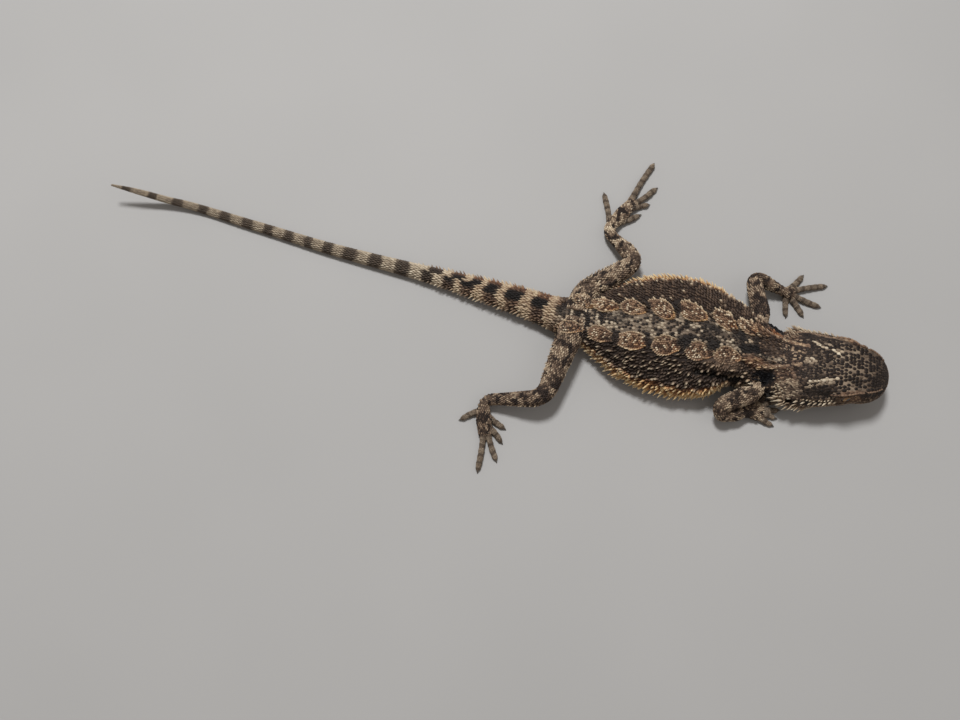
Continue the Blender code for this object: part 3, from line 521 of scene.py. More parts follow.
skinShape = {
    "coatDepth": 0.2,  # the skin lies this far inside the solids, and the scales fill it
    "limbShare": 0.8,  # of that depth on the limbs
    "toeDepth": 0.1,
    "bodyStep": 0.45,
    "rings": (110, 36),  # along a limb and a toe
    "sides": (110, 40, 20),  # round the body, a limb and a toe
    "voxel": 0.165,
    "smoothing": 4,
    "triangles": 190000,
}
# Ridges (plus) and furrows (minus) of the skin: points x, y seen from above or points x, angle on
# both sides of the head, then half width and height.
skinRelief = {
    "above": (
        (((20.6, 3.9), (24.0, 2.9), (28.0, 1.9)), 0.6, 0.48),
        (((17.8, -3.8), (22.0, -4.4), (28.5, -3.7)), 0.65, 0.48),
        (((19.0, -0.8), (25.5, -1.2)), 1.1, -0.28),
        (((22.4, 7.4), (26.2, 5.2)), 0.9, -0.5),
        (((21.6, -7.3), (23.4, -7.0)), 1.2, -0.8),
        (((8.5, -6.3), (12.5, -6.3), (15.6, -5.8)), 1.3, 1.05),
        (((7.0, -8.5), (10.5, -8.3), (13.7, -7.9), (17.5, -7.6)), 0.55, -1.0),
        (((26.9, 2.9), (30.1, 0.6)), 0.6, 0.2),
        (((28.0, -4.2), (29.4, -7.4)), 0.7, 0.25),
        (((-25.5, 6.6), (-20.0, 8.6), (-15.5, 10.6)), 0.6, -0.5),
    ),
    "head": (
        (((38.6, 38), (41.5, 43), (44.4, 44)), 0.55, 0.30),
        (((44.4, 44), (47.0, 48), (49.6, 50)), 0.50, 0.20),
        (((30.5, 34), (34.0, 27), (38.2, 26)), 0.50, 0.24),
        (((38.5, 8), (44.0, 6)), 0.50, 0.12),
    ),
    "patches": 0.16,
    "ribs": (0.12, 2.9),  # height and distance from rib to rib
    "neck": (0.09, 1.25),
    "vent": -23.5,
}

limbs = []
for number, limb in enumerate(limbForms):
    surface, end = limbSurface(limb)
    toes = [toeSurface(root, tip, 0.18 if toe % 2 else -0.15)
            for toe, (root, tip) in enumerate(limb["toes"])]
    limbs.append(dict(form=limb, surface=surface, end=end, toes=toes))


def coatDepthAt(x):  # thinner at the tail's end
    return skinShape["coatDepth"] * np.clip((x - bodyForm["tailTip"]) / 45, 0.12, 1)


limbDepth = skinShape["coatDepth"] * skinShape["limbShare"]


def bodyStations(step):
    flat = np.arange(bodyForm["tailTip"] + 0.05, bodyForm["noseStart"], step)
    turn = np.linspace(0, math.pi / 2, 40)
    nose = mixed(bodyForm["noseStart"], bodyForm["snout"], np.sin(turn))
    return np.append(flat, nose[:-1])


def makeSkin():
    x = bodyStations(skinShape["bodyStep"])
    (limbRings, toeRings), (bodySides, limbSides, toeSides) = skinShape["rings"], skinShape["sides"]
    shells = [shellOf(bodySurface, x, bodySides, -coatDepthAt(x)[:, None])]
    for limb in limbs:
        s = np.linspace(0, limb["end"], limbRings)
        shells.append(shellOf(limb["surface"], s, limbSides, -limbDepth))
        for surface, end in limb["toes"]:
            s = np.linspace(0, end, toeRings)
            shells.append(shellOf(surface, s, toeSides, -skinShape["toeDepth"]))
    skin = meshPiece("skin", *joinedShells(shells))
    remesh = skin.modifiers.new("remesh", "REMESH")
    remesh.mode = "VOXEL"
    remesh.voxel_size = skinShape["voxel"] * mm
    remesh.use_smooth_shade = True
    smooth = skin.modifiers.new("smooth", "SMOOTH")
    smooth.iterations = skinShape["smoothing"]
    smooth.factor = 0.5
    applyModifiers(skin)
    return skin


# How far the skin stands out of the plain forms: Gaussian ridges and furrows along the lines, the
# patches a little raised, ribs and neck wrinkles as waves along the body, and a slit for the vent.
def skinRise(place, normal):
    x, y = place[:, 0], place[:, 1]
    above = eased(0.05, 0.4, normal[:, 2])
    rise = np.zeros(len(place))
    for line, width, height in skinRelief["above"]:
        rise += height * above * np.exp(-((awayFrom(place, line) / width) ** 2))
    for line, width, height in skinRelief["head"]:
        for left in (True, False):
            spots = [bodySurface(at, angle if left else 180.0 - angle) for at, angle in line]
            rise += height * np.exp(-((awayFrom(place, spots) / width) ** 2))
    for patch in markings["patches"]:
        reach = patchReach(x, y, patch)
        rise += skinRelief["patches"] * above * eased(1.12, 0.85, reach)
    height, period = skinRelief["ribs"]
    flank = above * eased(5.5, 7.5, np.abs(y - middleY(x))) * eased(-15, -11, x) * eased(15, 11, x)
    rise += height * flank * np.cos(2 * math.pi * (x / period + 0.35 * mottle(place, 4.5, 3)))
    height, period = skinRelief["neck"]
    neck = np.exp(-(((x - 24.0) / 2.6) ** 2))
    rise += height * neck * np.sin(2 * math.pi * x / period + 5 * mottle(place, 3.0, 41))
    slit = np.exp(-(((x - skinRelief["vent"]) / 0.22) ** 2)) * (np.abs(y - middleY(x)) < 2.2)
    return rise - 0.3 * slit * (normal[:, 2] < -0.4)


# A place on the head's skin, its outward direction, the forward one and the sideways one.
def headFrame(x, angle, left):
    degrees = angle if left else 180.0 - angle
    place = bodySurface(x, degrees)
    along = bodySurface(x + 0.3, degrees) - bodySurface(x - 0.3, degrees)
    around = bodySurface(x, degrees + 2) - bodySurface(x, degrees - 2)
    outward = unit(np.cross(around, along))
    if outward @ (place - bodySurface(x, degrees + 180)) < 0:
        outward = -outward
    forward = unit(np.array([1.0, 0, 0]) - outward * outward[0])
    return place, outward, forward, np.cross(outward, forward)


headParts = {
    "start": 24.0,
    "eye": (41.6, 24.0),
    "eyeRadius": 2.0,
    "eyeDepth": 1.55,
    "opening": (1.22, 0.66),  # of the lids, half length and half height
    "lidThickness": 0.16,
    "lidRings": ((1.38, 0.82, 26), (1.68, 1.12, 30), (1.96, 1.42, 34)),  # half axes, number
    "ear": (29.8, 10.0),
    "earSize": (0.75, 1.15),
    "nostril": (48.4, 40.0),
    "nostrilRadius": 0.34,
    "mouthHeight": 5.5,
    "mouthCentre": (42.5, -1.4),
    "mouthTurn": 128.0,
    "lipDepth": 0.28,
    "lipGauge": 0.62,
    "lipRows": (0.36, 0.95, -0.36, -0.95),  # heights over the mouth's line
    "gazeForward": 0.18,
    "cornea": (0.07, 30.0),  # its rise over the eyeball, and its spread in degrees
}


# The height of the mouth's line round the jaws: a cosine that dips at the corners.
def mouthLift(heading):
    corner = np.abs(heading) / headParts["mouthTurn"]
    return 0.35 * np.cos(np.radians(heading)) - 0.25 * corner**4


def mouthLine(place):
    cx, cy = headParts["mouthCentre"]
    heading = np.degrees(np.arctan2(place[:, 1] - cy, place[:, 0] - cx))
    inReach = eased(1.06, 0.98, np.abs(heading) / headParts["mouthTurn"]) * (place[:, 0] > 32)
    return place[:, 2] - headParts["mouthHeight"] - mouthLift(heading), inReach


# The middle of an eyeball, and its outward, forward and sideways directions.
def eyeFrame(left):
    spot, outward, forward, sideways = headFrame(*headParts["eye"], left)
    return spot - outward * headParts["eyeDepth"], outward, forward, sideways


# How near places are to an opening of the head: 1 on its rim; and how far out of its plane.
def openingReach(place, label, size, left):
    spot, outward, forward, sideways = headFrame(*headParts[label], left)
    local = place - spot
    reach = np.hypot(local @ forward / size[0], local @ sideways / size[1])
    return reach, local @ outward, outward


# Presses the lids, ears, nostrils and mouth into the skin. A lid follows the eyeball's sphere and
# opens in an ellipse; the other parts are pits with eased walls and a Gaussian rim.
def sculptHead(place, normal):
    place = place.copy()
    head = place[:, 0] > headParts["start"]
    for left in (True, False):
        q, away, outward = openingReach(place, "eye", headParts["opening"], left)
        centre = eyeFrame(left)[0]
        local = place - centre
        radius = np.linalg.norm(local, axis=1)
        near = head & (away > -headParts["eyeDepth"]) & (radius < 3.2) & (q < 3.4)
        lid = headParts["eyeRadius"] + headParts["lidThickness"]
        lid = lid + 0.12 * np.exp(-(((q - 1.14) / 0.15) ** 2))
        inside = headParts["eyeRadius"] - 0.35
        rim = mixed(inside, lid, eased(0.9, 1.06, q))
        wanted = np.where(q < 1.06, rim, np.maximum(radius, rim))
        crease = 0.10 * np.exp(-(((q - 1.95) / 0.16) ** 2)) * near
        stretch = np.where(near, (wanted - crease) / np.maximum(radius, 1e-6), 1.0)
        place = centre + local * stretch[:, None]
        for label, size, depth, rim in (("ear", headParts["earSize"], 0.85, 0.14),
                                        ("nostril", [headParts["nostrilRadius"]] * 2, 0.5, 0.1)):
            q, away, outward = openingReach(place, label, size, left)
            dip = depth * eased(1.15, 0.5, q) - rim * np.exp(-(((q - 1.35) / 0.25) ** 2))
            place -= outward * (dip * (head & (np.abs(away) < 1.2)))[:, None]
    drop, inReach = mouthLine(place)
    groove = headParts["lipDepth"] * np.exp(-((drop / 0.17) ** 2)) * inReach * head
    return place - normal * groove[:, None]


print("skin: building")
skin = makeSkin()
skinPlace = numbersOf(skin.data.vertices, "co") / mm
skinNormal = numbersOf(skin.data.vertices, "normal")
skinPlace = skinPlace + skinNormal * skinRise(skinPlace, skinNormal)[:, None]
skinPlace = sculptHead(skinPlace, skinNormal)
skinPlace[:, 2] = np.maximum(skinPlace[:, 2], 0.02)
skin.data.vertices.foreach_set("co", (skinPlace * mm).astype(np.float32).ravel())
skin.data.update()
decimate = skin.modifiers.new("decimate", "DECIMATE")
decimate.ratio = min(1.0, skinShape["triangles"] / (2 * len(skin.data.polygons)))
applyModifiers(skin)
skin = largestPart(skin)
skinPlace = numbersOf(skin.data.vertices, "co") / mm
skinNormal = numbersOf(skin.data.vertices, "normal")
skinTree = BVHTree.FromObject(skin, bpy.context.evaluated_depsgraph_get())
print("skin:", len(skin.data.vertices), "vertices")


def foldOf(turn):  # the angle up from either side, from an angle round the body
    turn = np.radians(turn)
    return np.degrees(np.arctan2(np.sin(turn), np.abs(np.cos(turn))))


# Roots are the places that scales and spines grow from, one row of each array to a root: its place,
# outward normal and lie towards the tail or the toes, its part (0 the body, 1 to 4 a limb, 11 to 14
# a limb's toes), how far along and across it stands, its turn round the section, its gauge and its
# spot on the flattened body. This function makes rows across a surface at the given stations, each
# scale half a step from the row before it, as far apart round the section as their gauge.
# Distances are measured from the crest down each side.
def latticeOn(surface, stations, gauge, part, flatSpot, grow):
    crest = np.linspace(0, 180, 73)
    rows = np.arange(len(stations))
    found = []
    for sign in (1, -1):
        degrees = 90.0 - sign * crest
        ring = surface(stations[:, None], degrees[None, :], grow)
        arc = np.cumsum(np.linalg.norm(np.diff(ring, axis=1), axis=2), axis=1)
        arc = np.concatenate([np.zeros((len(rows), 1)), arc], axis=1)
        columns = np.arange(int(arc[:, -1].max() / gauge.min()) + 2)
        wanted = (columns[None, :] + 0.5 * (rows % 2)[:, None]) * gauge[:, None]
        kept = wanted < arc[:, -1:] - 0.25 * gauge[:, None]
        if sign == -1:
            kept &= wanted > 0
        angle = np.stack([np.interp(w, a, degrees) for w, a in zip(wanted, arc)])
        row, column = np.nonzero(kept)
        found.append((stations[row], angle[row, column], sign * wanted[row, column], gauge[row]))
    along, turn, across, size = (np.concatenate(values) for values in zip(*found))
    along = along + dice.normal(0, 0.09, len(along)) * size
    turn = turn + dice.normal(0, 1, len(along)) * 1.3
    return rootsAt(surface, along, turn, across, size, part, flatSpot, grow)


# Places, outward directions and the lie towards the tail or the toes, by differences.
def rootsAt(surface, along, turn, across, size, part, flatSpot, grow):
    place = surface(along, turn, grow)
    forwards = surface(along + 0.15, turn, grow) - surface(along - 0.15, turn, grow)
    around = surface(along, turn + 2, grow) - surface(along, turn - 2, grow)
    normal = unit(np.cross(forwards, around))
    outward = place - surface(along, turn + 180.0, grow)
    normal *= np.where((normal * outward).sum(-1) < 0, -1.0, 1.0)[:, None]
    towards = -1.0 if part == 0 else 1.0
    count = len(along)
    return dict(place=place, normal=normal, lie=unit(forwards) * towards,
                part=np.full(count, part), along=along, across=np.full(count, across, float),
                turn=turn % 360, gauge=np.full(count, size, float),
                flat=flatSpot(along, turn % 360))


# Roots at given places of the body, lying straight back along the skin unless told otherwise.
def looseRoots(place, normal, gauge, lie=None):
    turn = np.degrees(np.arctan2(normal[:, 2], normal[:, 1])) % 360
    along, across = place[:, 0], place[:, 1] - middleY(place[:, 0])
    if lie is None:
        backwards = np.array([-1.0, 0.0, 0.0])
        lie = unit(backwards - normal * (normal @ backwards)[:, None])
    return dict(place=place, normal=normal, lie=lie, part=np.zeros(len(place), int), along=along,
                across=across, turn=turn, gauge=np.full(len(place), gauge),
                flat=bodyFlat(along, turn))


# Roots on the skin under points seen from above.
def rootsBelow(points, gauge):
    down = Vector((0, 0, -1))
    hits = [skinTree.ray_cast(Vector((x, y, 30.0)) * mm, down) for x, y in points]
    hits = [hit for hit in hits if hit[0]]
    place = np.array([hit[0] for hit in hits]) / mm
    return looseRoots(place, np.array([hit[1] for hit in hits]), gauge)


# Points round each patch's outline, evenly spaced, and a close lattice inside it.
def patchPoints(spacing):
    made = []
    turn = np.linspace(0, 2 * math.pi, 400)
    for patch in markings["patches"]:
        cx, cy, length, width, degrees = patch
        c, s = math.cos(math.radians(degrees)), math.sin(math.radians(degrees))
        u, v = length * np.cos(turn), width * np.sin(turn)
        x, y = u * c - v * s, u * s + v * c
        reach = patchReach(cx + x, cy + y, patch)
        x, y = cx + x / reach, cy + y / reach
        run = np.append(0, np.cumsum(np.hypot(np.diff(x), np.diff(y))))
        wanted = np.linspace(0, run[-1], round(run[-1] / spacing), endpoint=False)
        made.append(np.stack([np.interp(wanted, run, x), np.interp(wanted, run, y)], -1))
        steps = np.arange(-12, 13)
        row, column = np.meshgrid(steps, steps, indexing="ij")
        u, v = (column + 0.5 * (row % 2)).ravel() * spacing, row.ravel() * spacing * 0.87
        u, v = (w + dice.normal(0, 0.07 * spacing, len(w)) for w in (u, v))
        x, y = cx + u * c - v * s, cy + u * s + v * c
        reach = patchReach(x, y, patch)
        made.append(np.stack([x, y], -1)[reach < 1 - 0.55 * spacing / width])
    return np.concatenate(made)


def joinedRoots(several):
    return {label: np.concatenate([roots[label] for roots in several]) for label in several[0]}


def pickedRoots(roots, mask):
    return {label: values[mask] for label, values in roots.items()}


def onSkin(points):  # the nearest points of the skin and its outward directions there
    hits = [skinTree.find_nearest(Vector(point)) for point in points * mm]
    return np.array([hit[0] for hit in hits]) / mm, np.array([hit[1] for hit in hits])


# Moves each root onto the skin, and leaves out those that lie inside it or far from it.
def settled(roots, reach=0.55, deepest=-0.32, lifted=True):
    place = roots["place"]
    if lifted:
        place = place + roots["normal"] * skinRise(place, roots["normal"])[:, None]
    spot, facing = onSkin(place)
    away = place - spot
    height = (away * facing).sum(-1)
    kept = (np.linalg.norm(away, axis=1) < reach) & (height > deepest)
    kept &= (facing * roots["normal"]).sum(-1) > 0.2
    roots = dict(roots, place=spot, normal=unit(facing + roots["normal"] * 0.8))
    return pickedRoots(roots, kept)


def treeOf(places):
    tree = KDTree(len(places))
    for index, place in enumerate(places):
        tree.insert(place, index)
    tree.balance()
    return tree


def nearestOf(places, spots):  # the number of the place nearest to each spot
    tree = treeOf(places)
    return np.array([tree.find(spot)[1] for spot in spots])


# Leaves out a root that is too close to an earlier one.
def thinned(roots, share=0.62):
    tree = treeOf(roots["place"])
    kept = np.ones(len(roots["place"]), bool)
    for index, place in enumerate(roots["place"]):
        if kept[index]:
            for _, other, _ in tree.find_range(place, roots["gauge"][index] * share):
                if other > index:
                    kept[other] = False
    return pickedRoots(roots, kept)


# Stations along a surface whose spacing follows a gauge: the running length over the gauge is cut
# at whole numbers.
def stationsBy(surface, start, end, gaugeAt, stretch, turn=50.0):
    fine = np.linspace(start, end, 3000)
    line = surface(fine, turn)
    pace = np.linalg.norm(np.diff(line, axis=0), axis=1)
    count = np.append(0.0, np.cumsum(pace / (gaugeAt(fine[1:]) * stretch)))
    return np.interp(np.arange(0.5, count[-1]), count, fine)


# Distance from scale to scale, and from row to row as a share of it.
coatGauge = {
    "tail": (((-140.1, 0.24), (-125.0, 0.36), (-100.0, 0.50), (-60.0, 0.62), (-24.0, 0.72)), 1.08),
    "trunk": (((-24.0, 0.64), (-10.0, 0.74), (8.0, 0.76), (19.0, 0.66), (25.0, 0.58)), 0.90),
    "crown": (((25.0, 0.54), (29.0, 0.56), (33.0, 0.60), (38.0, 0.74), (44.0, 0.78), (47.0, 0.68),
               (49.5, 0.52), (51.6, 0.38)), 1.30),
    "patch": 0.52,
    "gap": 0.44,
    "gapReach": (25.4, 37.5, 50.0),  # gaps are filled from this x to these on crown and cheeks
    "gapShare": 0.66,
    "cheek": (((25.0, 0.56), (30.0, 0.58), (36.0, 0.60), (44.0, 0.58), (48.0, 0.50), (51.6, 0.38)),
              0.94),
    # angle up from the side at which the crown's scales meet the cheeks'
    "crownEdge": ((25.0, 24.0), (30.0, 34.0), (38.0, 28.0), (41.5, 42.0), (47.0, 48.0),
                  (51.6, 62.0)),
    "limb": (0.60, 0.44),  # at the root and at the knuckles
    "toe": 0.37,
    "rowStep": 0.90,
    "bakeLength": 193.0,  # of the body, when it lies flat on the bake map
}


def bodyFlat(along, turn):  # a spot on the flattened body, for the bake map
    share = (along - bodyForm["tailTip"]) / coatGauge["bakeLength"]
    return np.stack([share, (turn - 90) % 360 / 360], -1)


def stripOf(row, rows, length):  # the same for one of several limbs or toes, each a strip
    return lambda along, turn: np.stack(
        [along / length, (row + (turn - 90) % 360 / 360) / rows], -1)


limbStrip, toeStrip = (4, 60), (20, 15)


def bodyRoots():
    made = []
    crownEdge = curveThrough(coatGauge["crownEdge"])
    for label in ("tail", "trunk", "crown", "cheek"):
        table, step = coatGauge[label]
        gauge = curveThrough(table)
        start, end = table[0][0] + (0.2 if label == "tail" else 0.0), table[-1][0] - 0.03
        stations = stationsBy(bodySurface, start, end, gauge, step)
        depth = -coatDepthAt(stations).mean()
        roots = latticeOn(bodySurface, stations, gauge(stations), 0, bodyFlat, depth)
        high = foldOf(roots["turn"]) > crownEdge(roots["along"])
        if label in ("crown", "cheek"):
            roots = pickedRoots(roots, high == (label == "crown"))
        made.append(roots)
    return joinedRoots(made)


def limbRoots(number):
    limb = limbs[number]

    def gaugeAt(s):
        return mixed(*coatGauge["limb"], np.clip(s / limb["end"], 0, 1))

    stations = stationsBy(limb["surface"], 0.2, limb["end"], gaugeAt, coatGauge["rowStep"])
    return latticeOn(limb["surface"], stations, gaugeAt(stations), number + 1,
                     stripOf(number, *limbStrip), -limbDepth)


def toeRoots(number):
    made = []

    def gaugeAt(s):
        return np.full(np.shape(s), coatGauge["toe"])

    for toe, (surface, end) in enumerate(limbs[number]["toes"]):
        stations = stationsBy(surface, 0.3, end - 0.05, gaugeAt, coatGauge["rowStep"])
        roots = latticeOn(surface, stations, gaugeAt(stations), number + 11,
                          stripOf(number * 5 + toe, *toeStrip), -skinShape["toeDepth"])
        roots["along"] = roots["along"] - end
        made.append(roots)
    return joinedRoots(made)


patchRoots = rootsBelow(patchPoints(coatGauge["patch"]), coatGauge["patch"])
allBody = thinned(joinedRoots([patchRoots, settled(bodyRoots())]))
allLimbs = thinned(settled(joinedRoots([limbRoots(n) for n in range(4)])))
allToes = thinned(settled(joinedRoots([toeRoots(n) for n in range(4)]), 0.4, -0.2, False))


# Small roots for the gaps between the scales of the head, at the skin's own points and faces.
def gapRoots():
    place = np.concatenate([skinPlace, numbersOf(skin.data.polygons, "center") / mm])
    normal = np.concatenate([skinNormal, numbersOf(skin.data.polygons, "normal")])
    fold = foldOf(np.degrees(np.arctan2(normal[:, 2], normal[:, 1])))
    crown = fold > curveThrough(coatGauge["crownEdge"])(place[:, 0])
    first, crownLast, cheekLast = coatGauge["gapReach"]
    last = np.where(crown, crownLast, cheekLast)
    near = dice.permutation(np.nonzero((place[:, 0] > first) & (place[:, 0] < last))[0])
    place, normal = place[near], normal[near]
    others = joinedRoots([allBody, allLimbs, allToes])
    onBody = others["part"][nearestOf(others["place"], place)] == 0
    return looseRoots(place[onBody], normal[onBody], coatGauge["gap"])


allBody = thinned(joinedRoots([allBody, gapRoots()]), coatGauge["gapShare"])
print("roots:", len(allBody["part"]), len(allLimbs["part"]), len(allToes["part"]))

bandNumber = curveThrough(markings["bandCount"])
bandHalf = curveThrough(markings["band"])


# The next functions lay tones over one another, region by region, from where each scale stands.
# They take masks of the body, limbs and toes, the coordinates, three sizes of noise and a scale's
# luck from 0 to 1, and leave the values that they have no use for in others.
def layTrunk(lay, body, x, y, place, along, across, fold, fine, middle, broad, luck, speck,
             **others):
    # flanks: dark brown, each scale with a pale tip, in faint upright streaks
    streak = (0.5 + 0.5 * np.cos(2 * math.pi * (x / 2.9 + 0.35 * broad))) ** 2
    streak = streak * (0.4 + 0.6 * (y > 0))
    lay(body * 1.0, core=0.13 + 0.12 * middle + 0.10 * streak + 0.10 * speck,
        rim=0.07 + 0.07 * fine,
        tip=mixed(0.26 + 0.22 * fine + 0.14 * streak, 0.92, luck > np.where(y > 0, 0.93, 0.76)),
        warm=0.16 + 0.06 * (y > 0), ink=0.05)
    # the band along the backbone: a pale grey net round dark dots
    off = np.abs(across) + 1.6 * (middle - 0.5)
    band = eased(bandHalf(along) + 1.0, bandHalf(along) - 0.6, off) * (fold > 0) * body
    dot = (luck < 0.28 + 0.5 * middle) * 1.0
    lay(band, rim=0.50 + 0.34 * (fine - 0.2) - 0.26 * eased(0.45, 0.75, broad),
        core=mixed(0.28 + 0.50 * luck, 0.03, dot), tip=0.46 + 0.4 * luck, warm=0.08, ink=0.0)
    lay(band * eased(0.58, 0.70, mottle(place, 1.5, 9)), core=0.04, rim=0.10 + 0.1 * fine, tip=0.2,
        ink=0.2)
    # belly and throat
    lay(eased(-22, -42, fold) * body, core=0.66 + 0.2 * middle, rim=0.72, tip=0.76, warm=0.08,
        ink=0.0)


# Pale patches of the back, each with a dark surround, a bright rim and pale and dim scales in it.
def layPatches(lay, body, x, y, along, fold, fine, middle, luck, speck, **others):
    trunk = body & (along > -27.5) & (along < 31) & (fold > 5)
    for patch in markings["patches"]:
        q = patchReach(x, y, patch)
        outer = eased(-0.8, 0.6, (y - patch[1]) * np.sign(patch[1]) / patch[3])
        lay(eased(1.6, 1.12, q) * trunk * (0.1 + 0.5 * outer), core=0.06, rim=0.07, tip=0.2,
            warm=0.12, ink=0.15)
        low, high = markings["patchEdge"]
        inside = (q < high) * trunk
        front = eased(-0.4, 1.0, (x - patch[0]) / patch[2])
        front = front * eased(0.6, -0.6, (y - patch[1]) / patch[3])
        warm = 0.34 + 0.44 * front * eased(0.35, 0.6, middle)
        pale, dim = eased(0.76, 0.88, luck), eased(0.06, 0.0, luck - 0.22 - 0.26 * middle)
        lay(inside, core=mixed(mixed(0.52 + 0.4 * (fine - 0.5), 0.12, dim), 0.90, pale),
            rim=0.32 + 0.28 * fine, tip=mixed(0.58, 0.95, pale), warm=warm * (1 - 0.4 * pale),
            ink=0.0)
        lay(inside * (q > low), core=0.52 + 0.36 * fine + 0.24 * speck, rim=0.52, tip=0.82,
            warm=0.28 + 0.4 * front)


# The fringe along the flanks: yellow behind, orange in the middle, yellow again before the arm.
def layFringe(lay, body, along, across, fold, fine, middle, speck, **others):
    yellow = np.maximum(eased(12.0, 15.5, along) * (across < 0), eased(-7.0, -15.0, along))
    upper = np.where(across > 0, 24.0, 27.0) + 10 * (middle - 0.5)
    fringe = eased(upper, upper - 7, fold) * eased(-24, -14, fold) * eased(-25, -22, along)
    fringe = fringe * np.where(across > 0, eased(14.5, 11.0, along), eased(18.5, 16.0, along))
    fringe = fringe * body * eased(0.15, 0.4, fine + 0.25 * (across < 0))
    lay(fringe, core=0.42 + 0.2 * yellow + 0.6 * speck, rim=0.12 + 0.24 * fine, tip=0.98,
        warm=mixed(0.76, 0.58, yellow), ink=0.0)


# The tail: dark and pale bands, the first ones broken into squares and orange-brown flanks.
def layTail(lay, body, along, across, fold, fine, middle, broad, speck, **others):
    tail = body * eased(-25.0, -28.5, along)
    near = eased(-64, -46, along)
    shift = 0.24 * (middle - 0.5) + 0.05 * np.abs(across) * near
    shift = shift + 0.4 * (across > 0) * eased(-62, -58, along) * eased(-43, -47, along)
    phase = bandNumber(along) + shift
    gap = np.abs(phase - np.round(phase))
    half = markings["bandShare"] / 2 + 0.05 * near + 0.10 * (broad - 0.5)
    dark = eased(half + 0.06, half - 0.06, gap)
    far = eased(-55, -80, along)
    bright = 0.10 * np.exp(-(((along + 60) / 18) ** 2))
    lay(tail, core=0.64 + 0.14 * fine - 0.06 * far + 0.16 * speck + bright,
        rim=0.46 + 0.14 * fine + bright, tip=0.90 - 0.14 * far, warm=0.06 + 0.20 * near, ink=0.0)
    rust = near * (fold > 12) * mixed(0.56, 0.26, across < 0) * (np.abs(across) > 0.9)
    lay(tail * dark * (1 - 0.12 * far), core=0.20 + 0.14 * fine + 0.04 * far,
        rim=0.12 + 0.08 * fine, tip=0.30, warm=0.06 + rust, ink=0.1)
    lay(tail * dark * near * eased(1.7, 0.9, np.abs(across - 0.2)), core=0.06, rim=0.09, tip=0.2,
        warm=0.0, ink=0.5)
    lay(tail * eased(-15, -45, fold), core=0.62, rim=0.66, tip=0.70, warm=0.1, ink=0.0)


# The head: dark scale centres in a pale net, finer and browner behind and at the sides.
def layHead(lay, body, place, along, fold, fine, middle, luck, speck, **others):
    head = body * eased(25.5, 28.5, along) * eased(-34, -18, fold)
    rear = eased(37.5, 31.5, along)
    grain = mottle(place, 0.6, 8)
    dot = (luck > 0.08 + 0.34 * rear) * 1.0
    snout = eased(41.5, 49.5, along + 0.02 * (90 - fold))
    lay(head, core=mixed(0.40, 0.01 + 0.03 * middle, dot), rim=0.57 + 0.30 * (fine - 0.5)
        - 0.12 * rear - 0.30 * snout + 0.1 * speck, tip=0.48 - 0.2 * snout, warm=0.12, ink=0.04)
    lay(head * rear * eased(0.46, 0.60, grain) * 0.8, core=0.05, rim=0.16 + 0.14 * fine, tip=0.3)
    side = head * eased(30, 16, fold)
    lay(side, core=0.20 + 0.40 * (luck > 0.6), rim=0.30 + 0.16 * fine - 0.1 * snout,
        tip=0.66 - 0.3 * snout, warm=0.20, ink=0.0)
    lay(head * eased(31, 27, along) * eased(0.3, 0.6, middle), core=0.14, rim=0.40, warm=0.30)
    nape = body * eased(16, 20, along) * eased(33, 29, along) * (fold > 4)
    lay(nape * (luck < 0.34), core=0.04, rim=0.10, tip=0.12, warm=0.2)
    lay(nape * (luck > 0.80), core=0.62, rim=0.40, tip=0.84, warm=0.26)
    lay(head * eased(48.0, 51.0, along), core=0.05, rim=0.22 + 0.14 * fine, tip=0.22, warm=0.08,
        ink=0.1)


# Narrow lines, the pale ones with a dark edge, and blots; some dark ones are painted shade in the
# neck's hollows, the shoulder's furrow, under the right temple's spines and between the right arm
# and the jaw.
def layLinesBlotsAndShade(lay, body, limb, x, y, z, place, fold, fine, middle, luck, speck, **others):
    for line, width, tone, warm, strength in markings["lines"]:
        off = awayFrom(place, line) + 0.25 * (fine - 0.5)
        upside = body * (fold > 4)
        if tone > 0.5:
            lay(eased(width * 3.2, width * 1.9, off) * upside * 0.8, core=0.04, rim=0.12, tip=0.16)
        lay(eased(width * 1.4, width * 0.8, off) * upside * strength,
            core=tone - 0.06 + 0.3 * speck, rim=tone, tip=tone + 0.05, warm=warm, ink=0.0)
    for blot in markings["blots"]:
        tone, warm, ink, strength = blot[5:]
        q = ovalReach(x, y, blot) + 0.35 * (fine - 0.5)
        # the darkest blots darken the limbs under them too, which lays the painted shade on the
        # right arm
        lay(eased(1.15, 0.8, q) * strength * (body | (limb & (tone < 0.1))) * (z > 3),
            core=tone * (0.4 + 1.2 * luck), rim=tone * (0.7 + 0.8 * middle),
            tip=tone * (0.8 + luck), warm=warm, ink=ink)


# Limbs, brown with pale and dark mottling, and ringed toes.
def layLimbs(lay, limb, toe, part, place, along, fold, fine, middle, broad, speck, **others):
    bars = 0.5 + 0.5 * np.sin(2 * math.pi * (along / 4.4 + 0.5 * broad))
    pale = eased(0.25, 0.85, 0.35 * bars + 0.75 * middle + 0.3 * speck)
    upper, lower = np.array([*markings["limbLift"], (0.0, 0.0)])[np.where(limb, part - 1, 4)].T
    lift = upper + lower * eased(18, 24, along)
    lay(limb * 1.0, core=mixed(0.17, 0.56, pale) + 0.3 * speck + lift,
        rim=mixed(0.16, 0.42, pale) + lift, tip=mixed(0.44, 0.86, pale) + lift, warm=0.18, ink=0.0)
    lay(limb * eased(0.60, 0.70, mottle(place, 0.9, 5)), core=0.07, rim=0.11, tip=0.26, ink=0.15)
    lay(limb * eased(-15, -50, fold), core=0.60, rim=0.64, tip=0.68, warm=0.1, ink=0.0)
    lay(toe * 1.0, core=0.40 + 0.24 * fine, rim=0.36, tip=0.56, warm=0.08, ink=0.0)
    ring = eased(0.6, 0.9, 0.5 + 0.5 * np.sin(2 * math.pi * along / 1.9 + 5 * broad))
    lay(toe * ring * 0.6 * (fold > -10), core=0.20, rim=0.22, tip=0.3, ink=0.05)


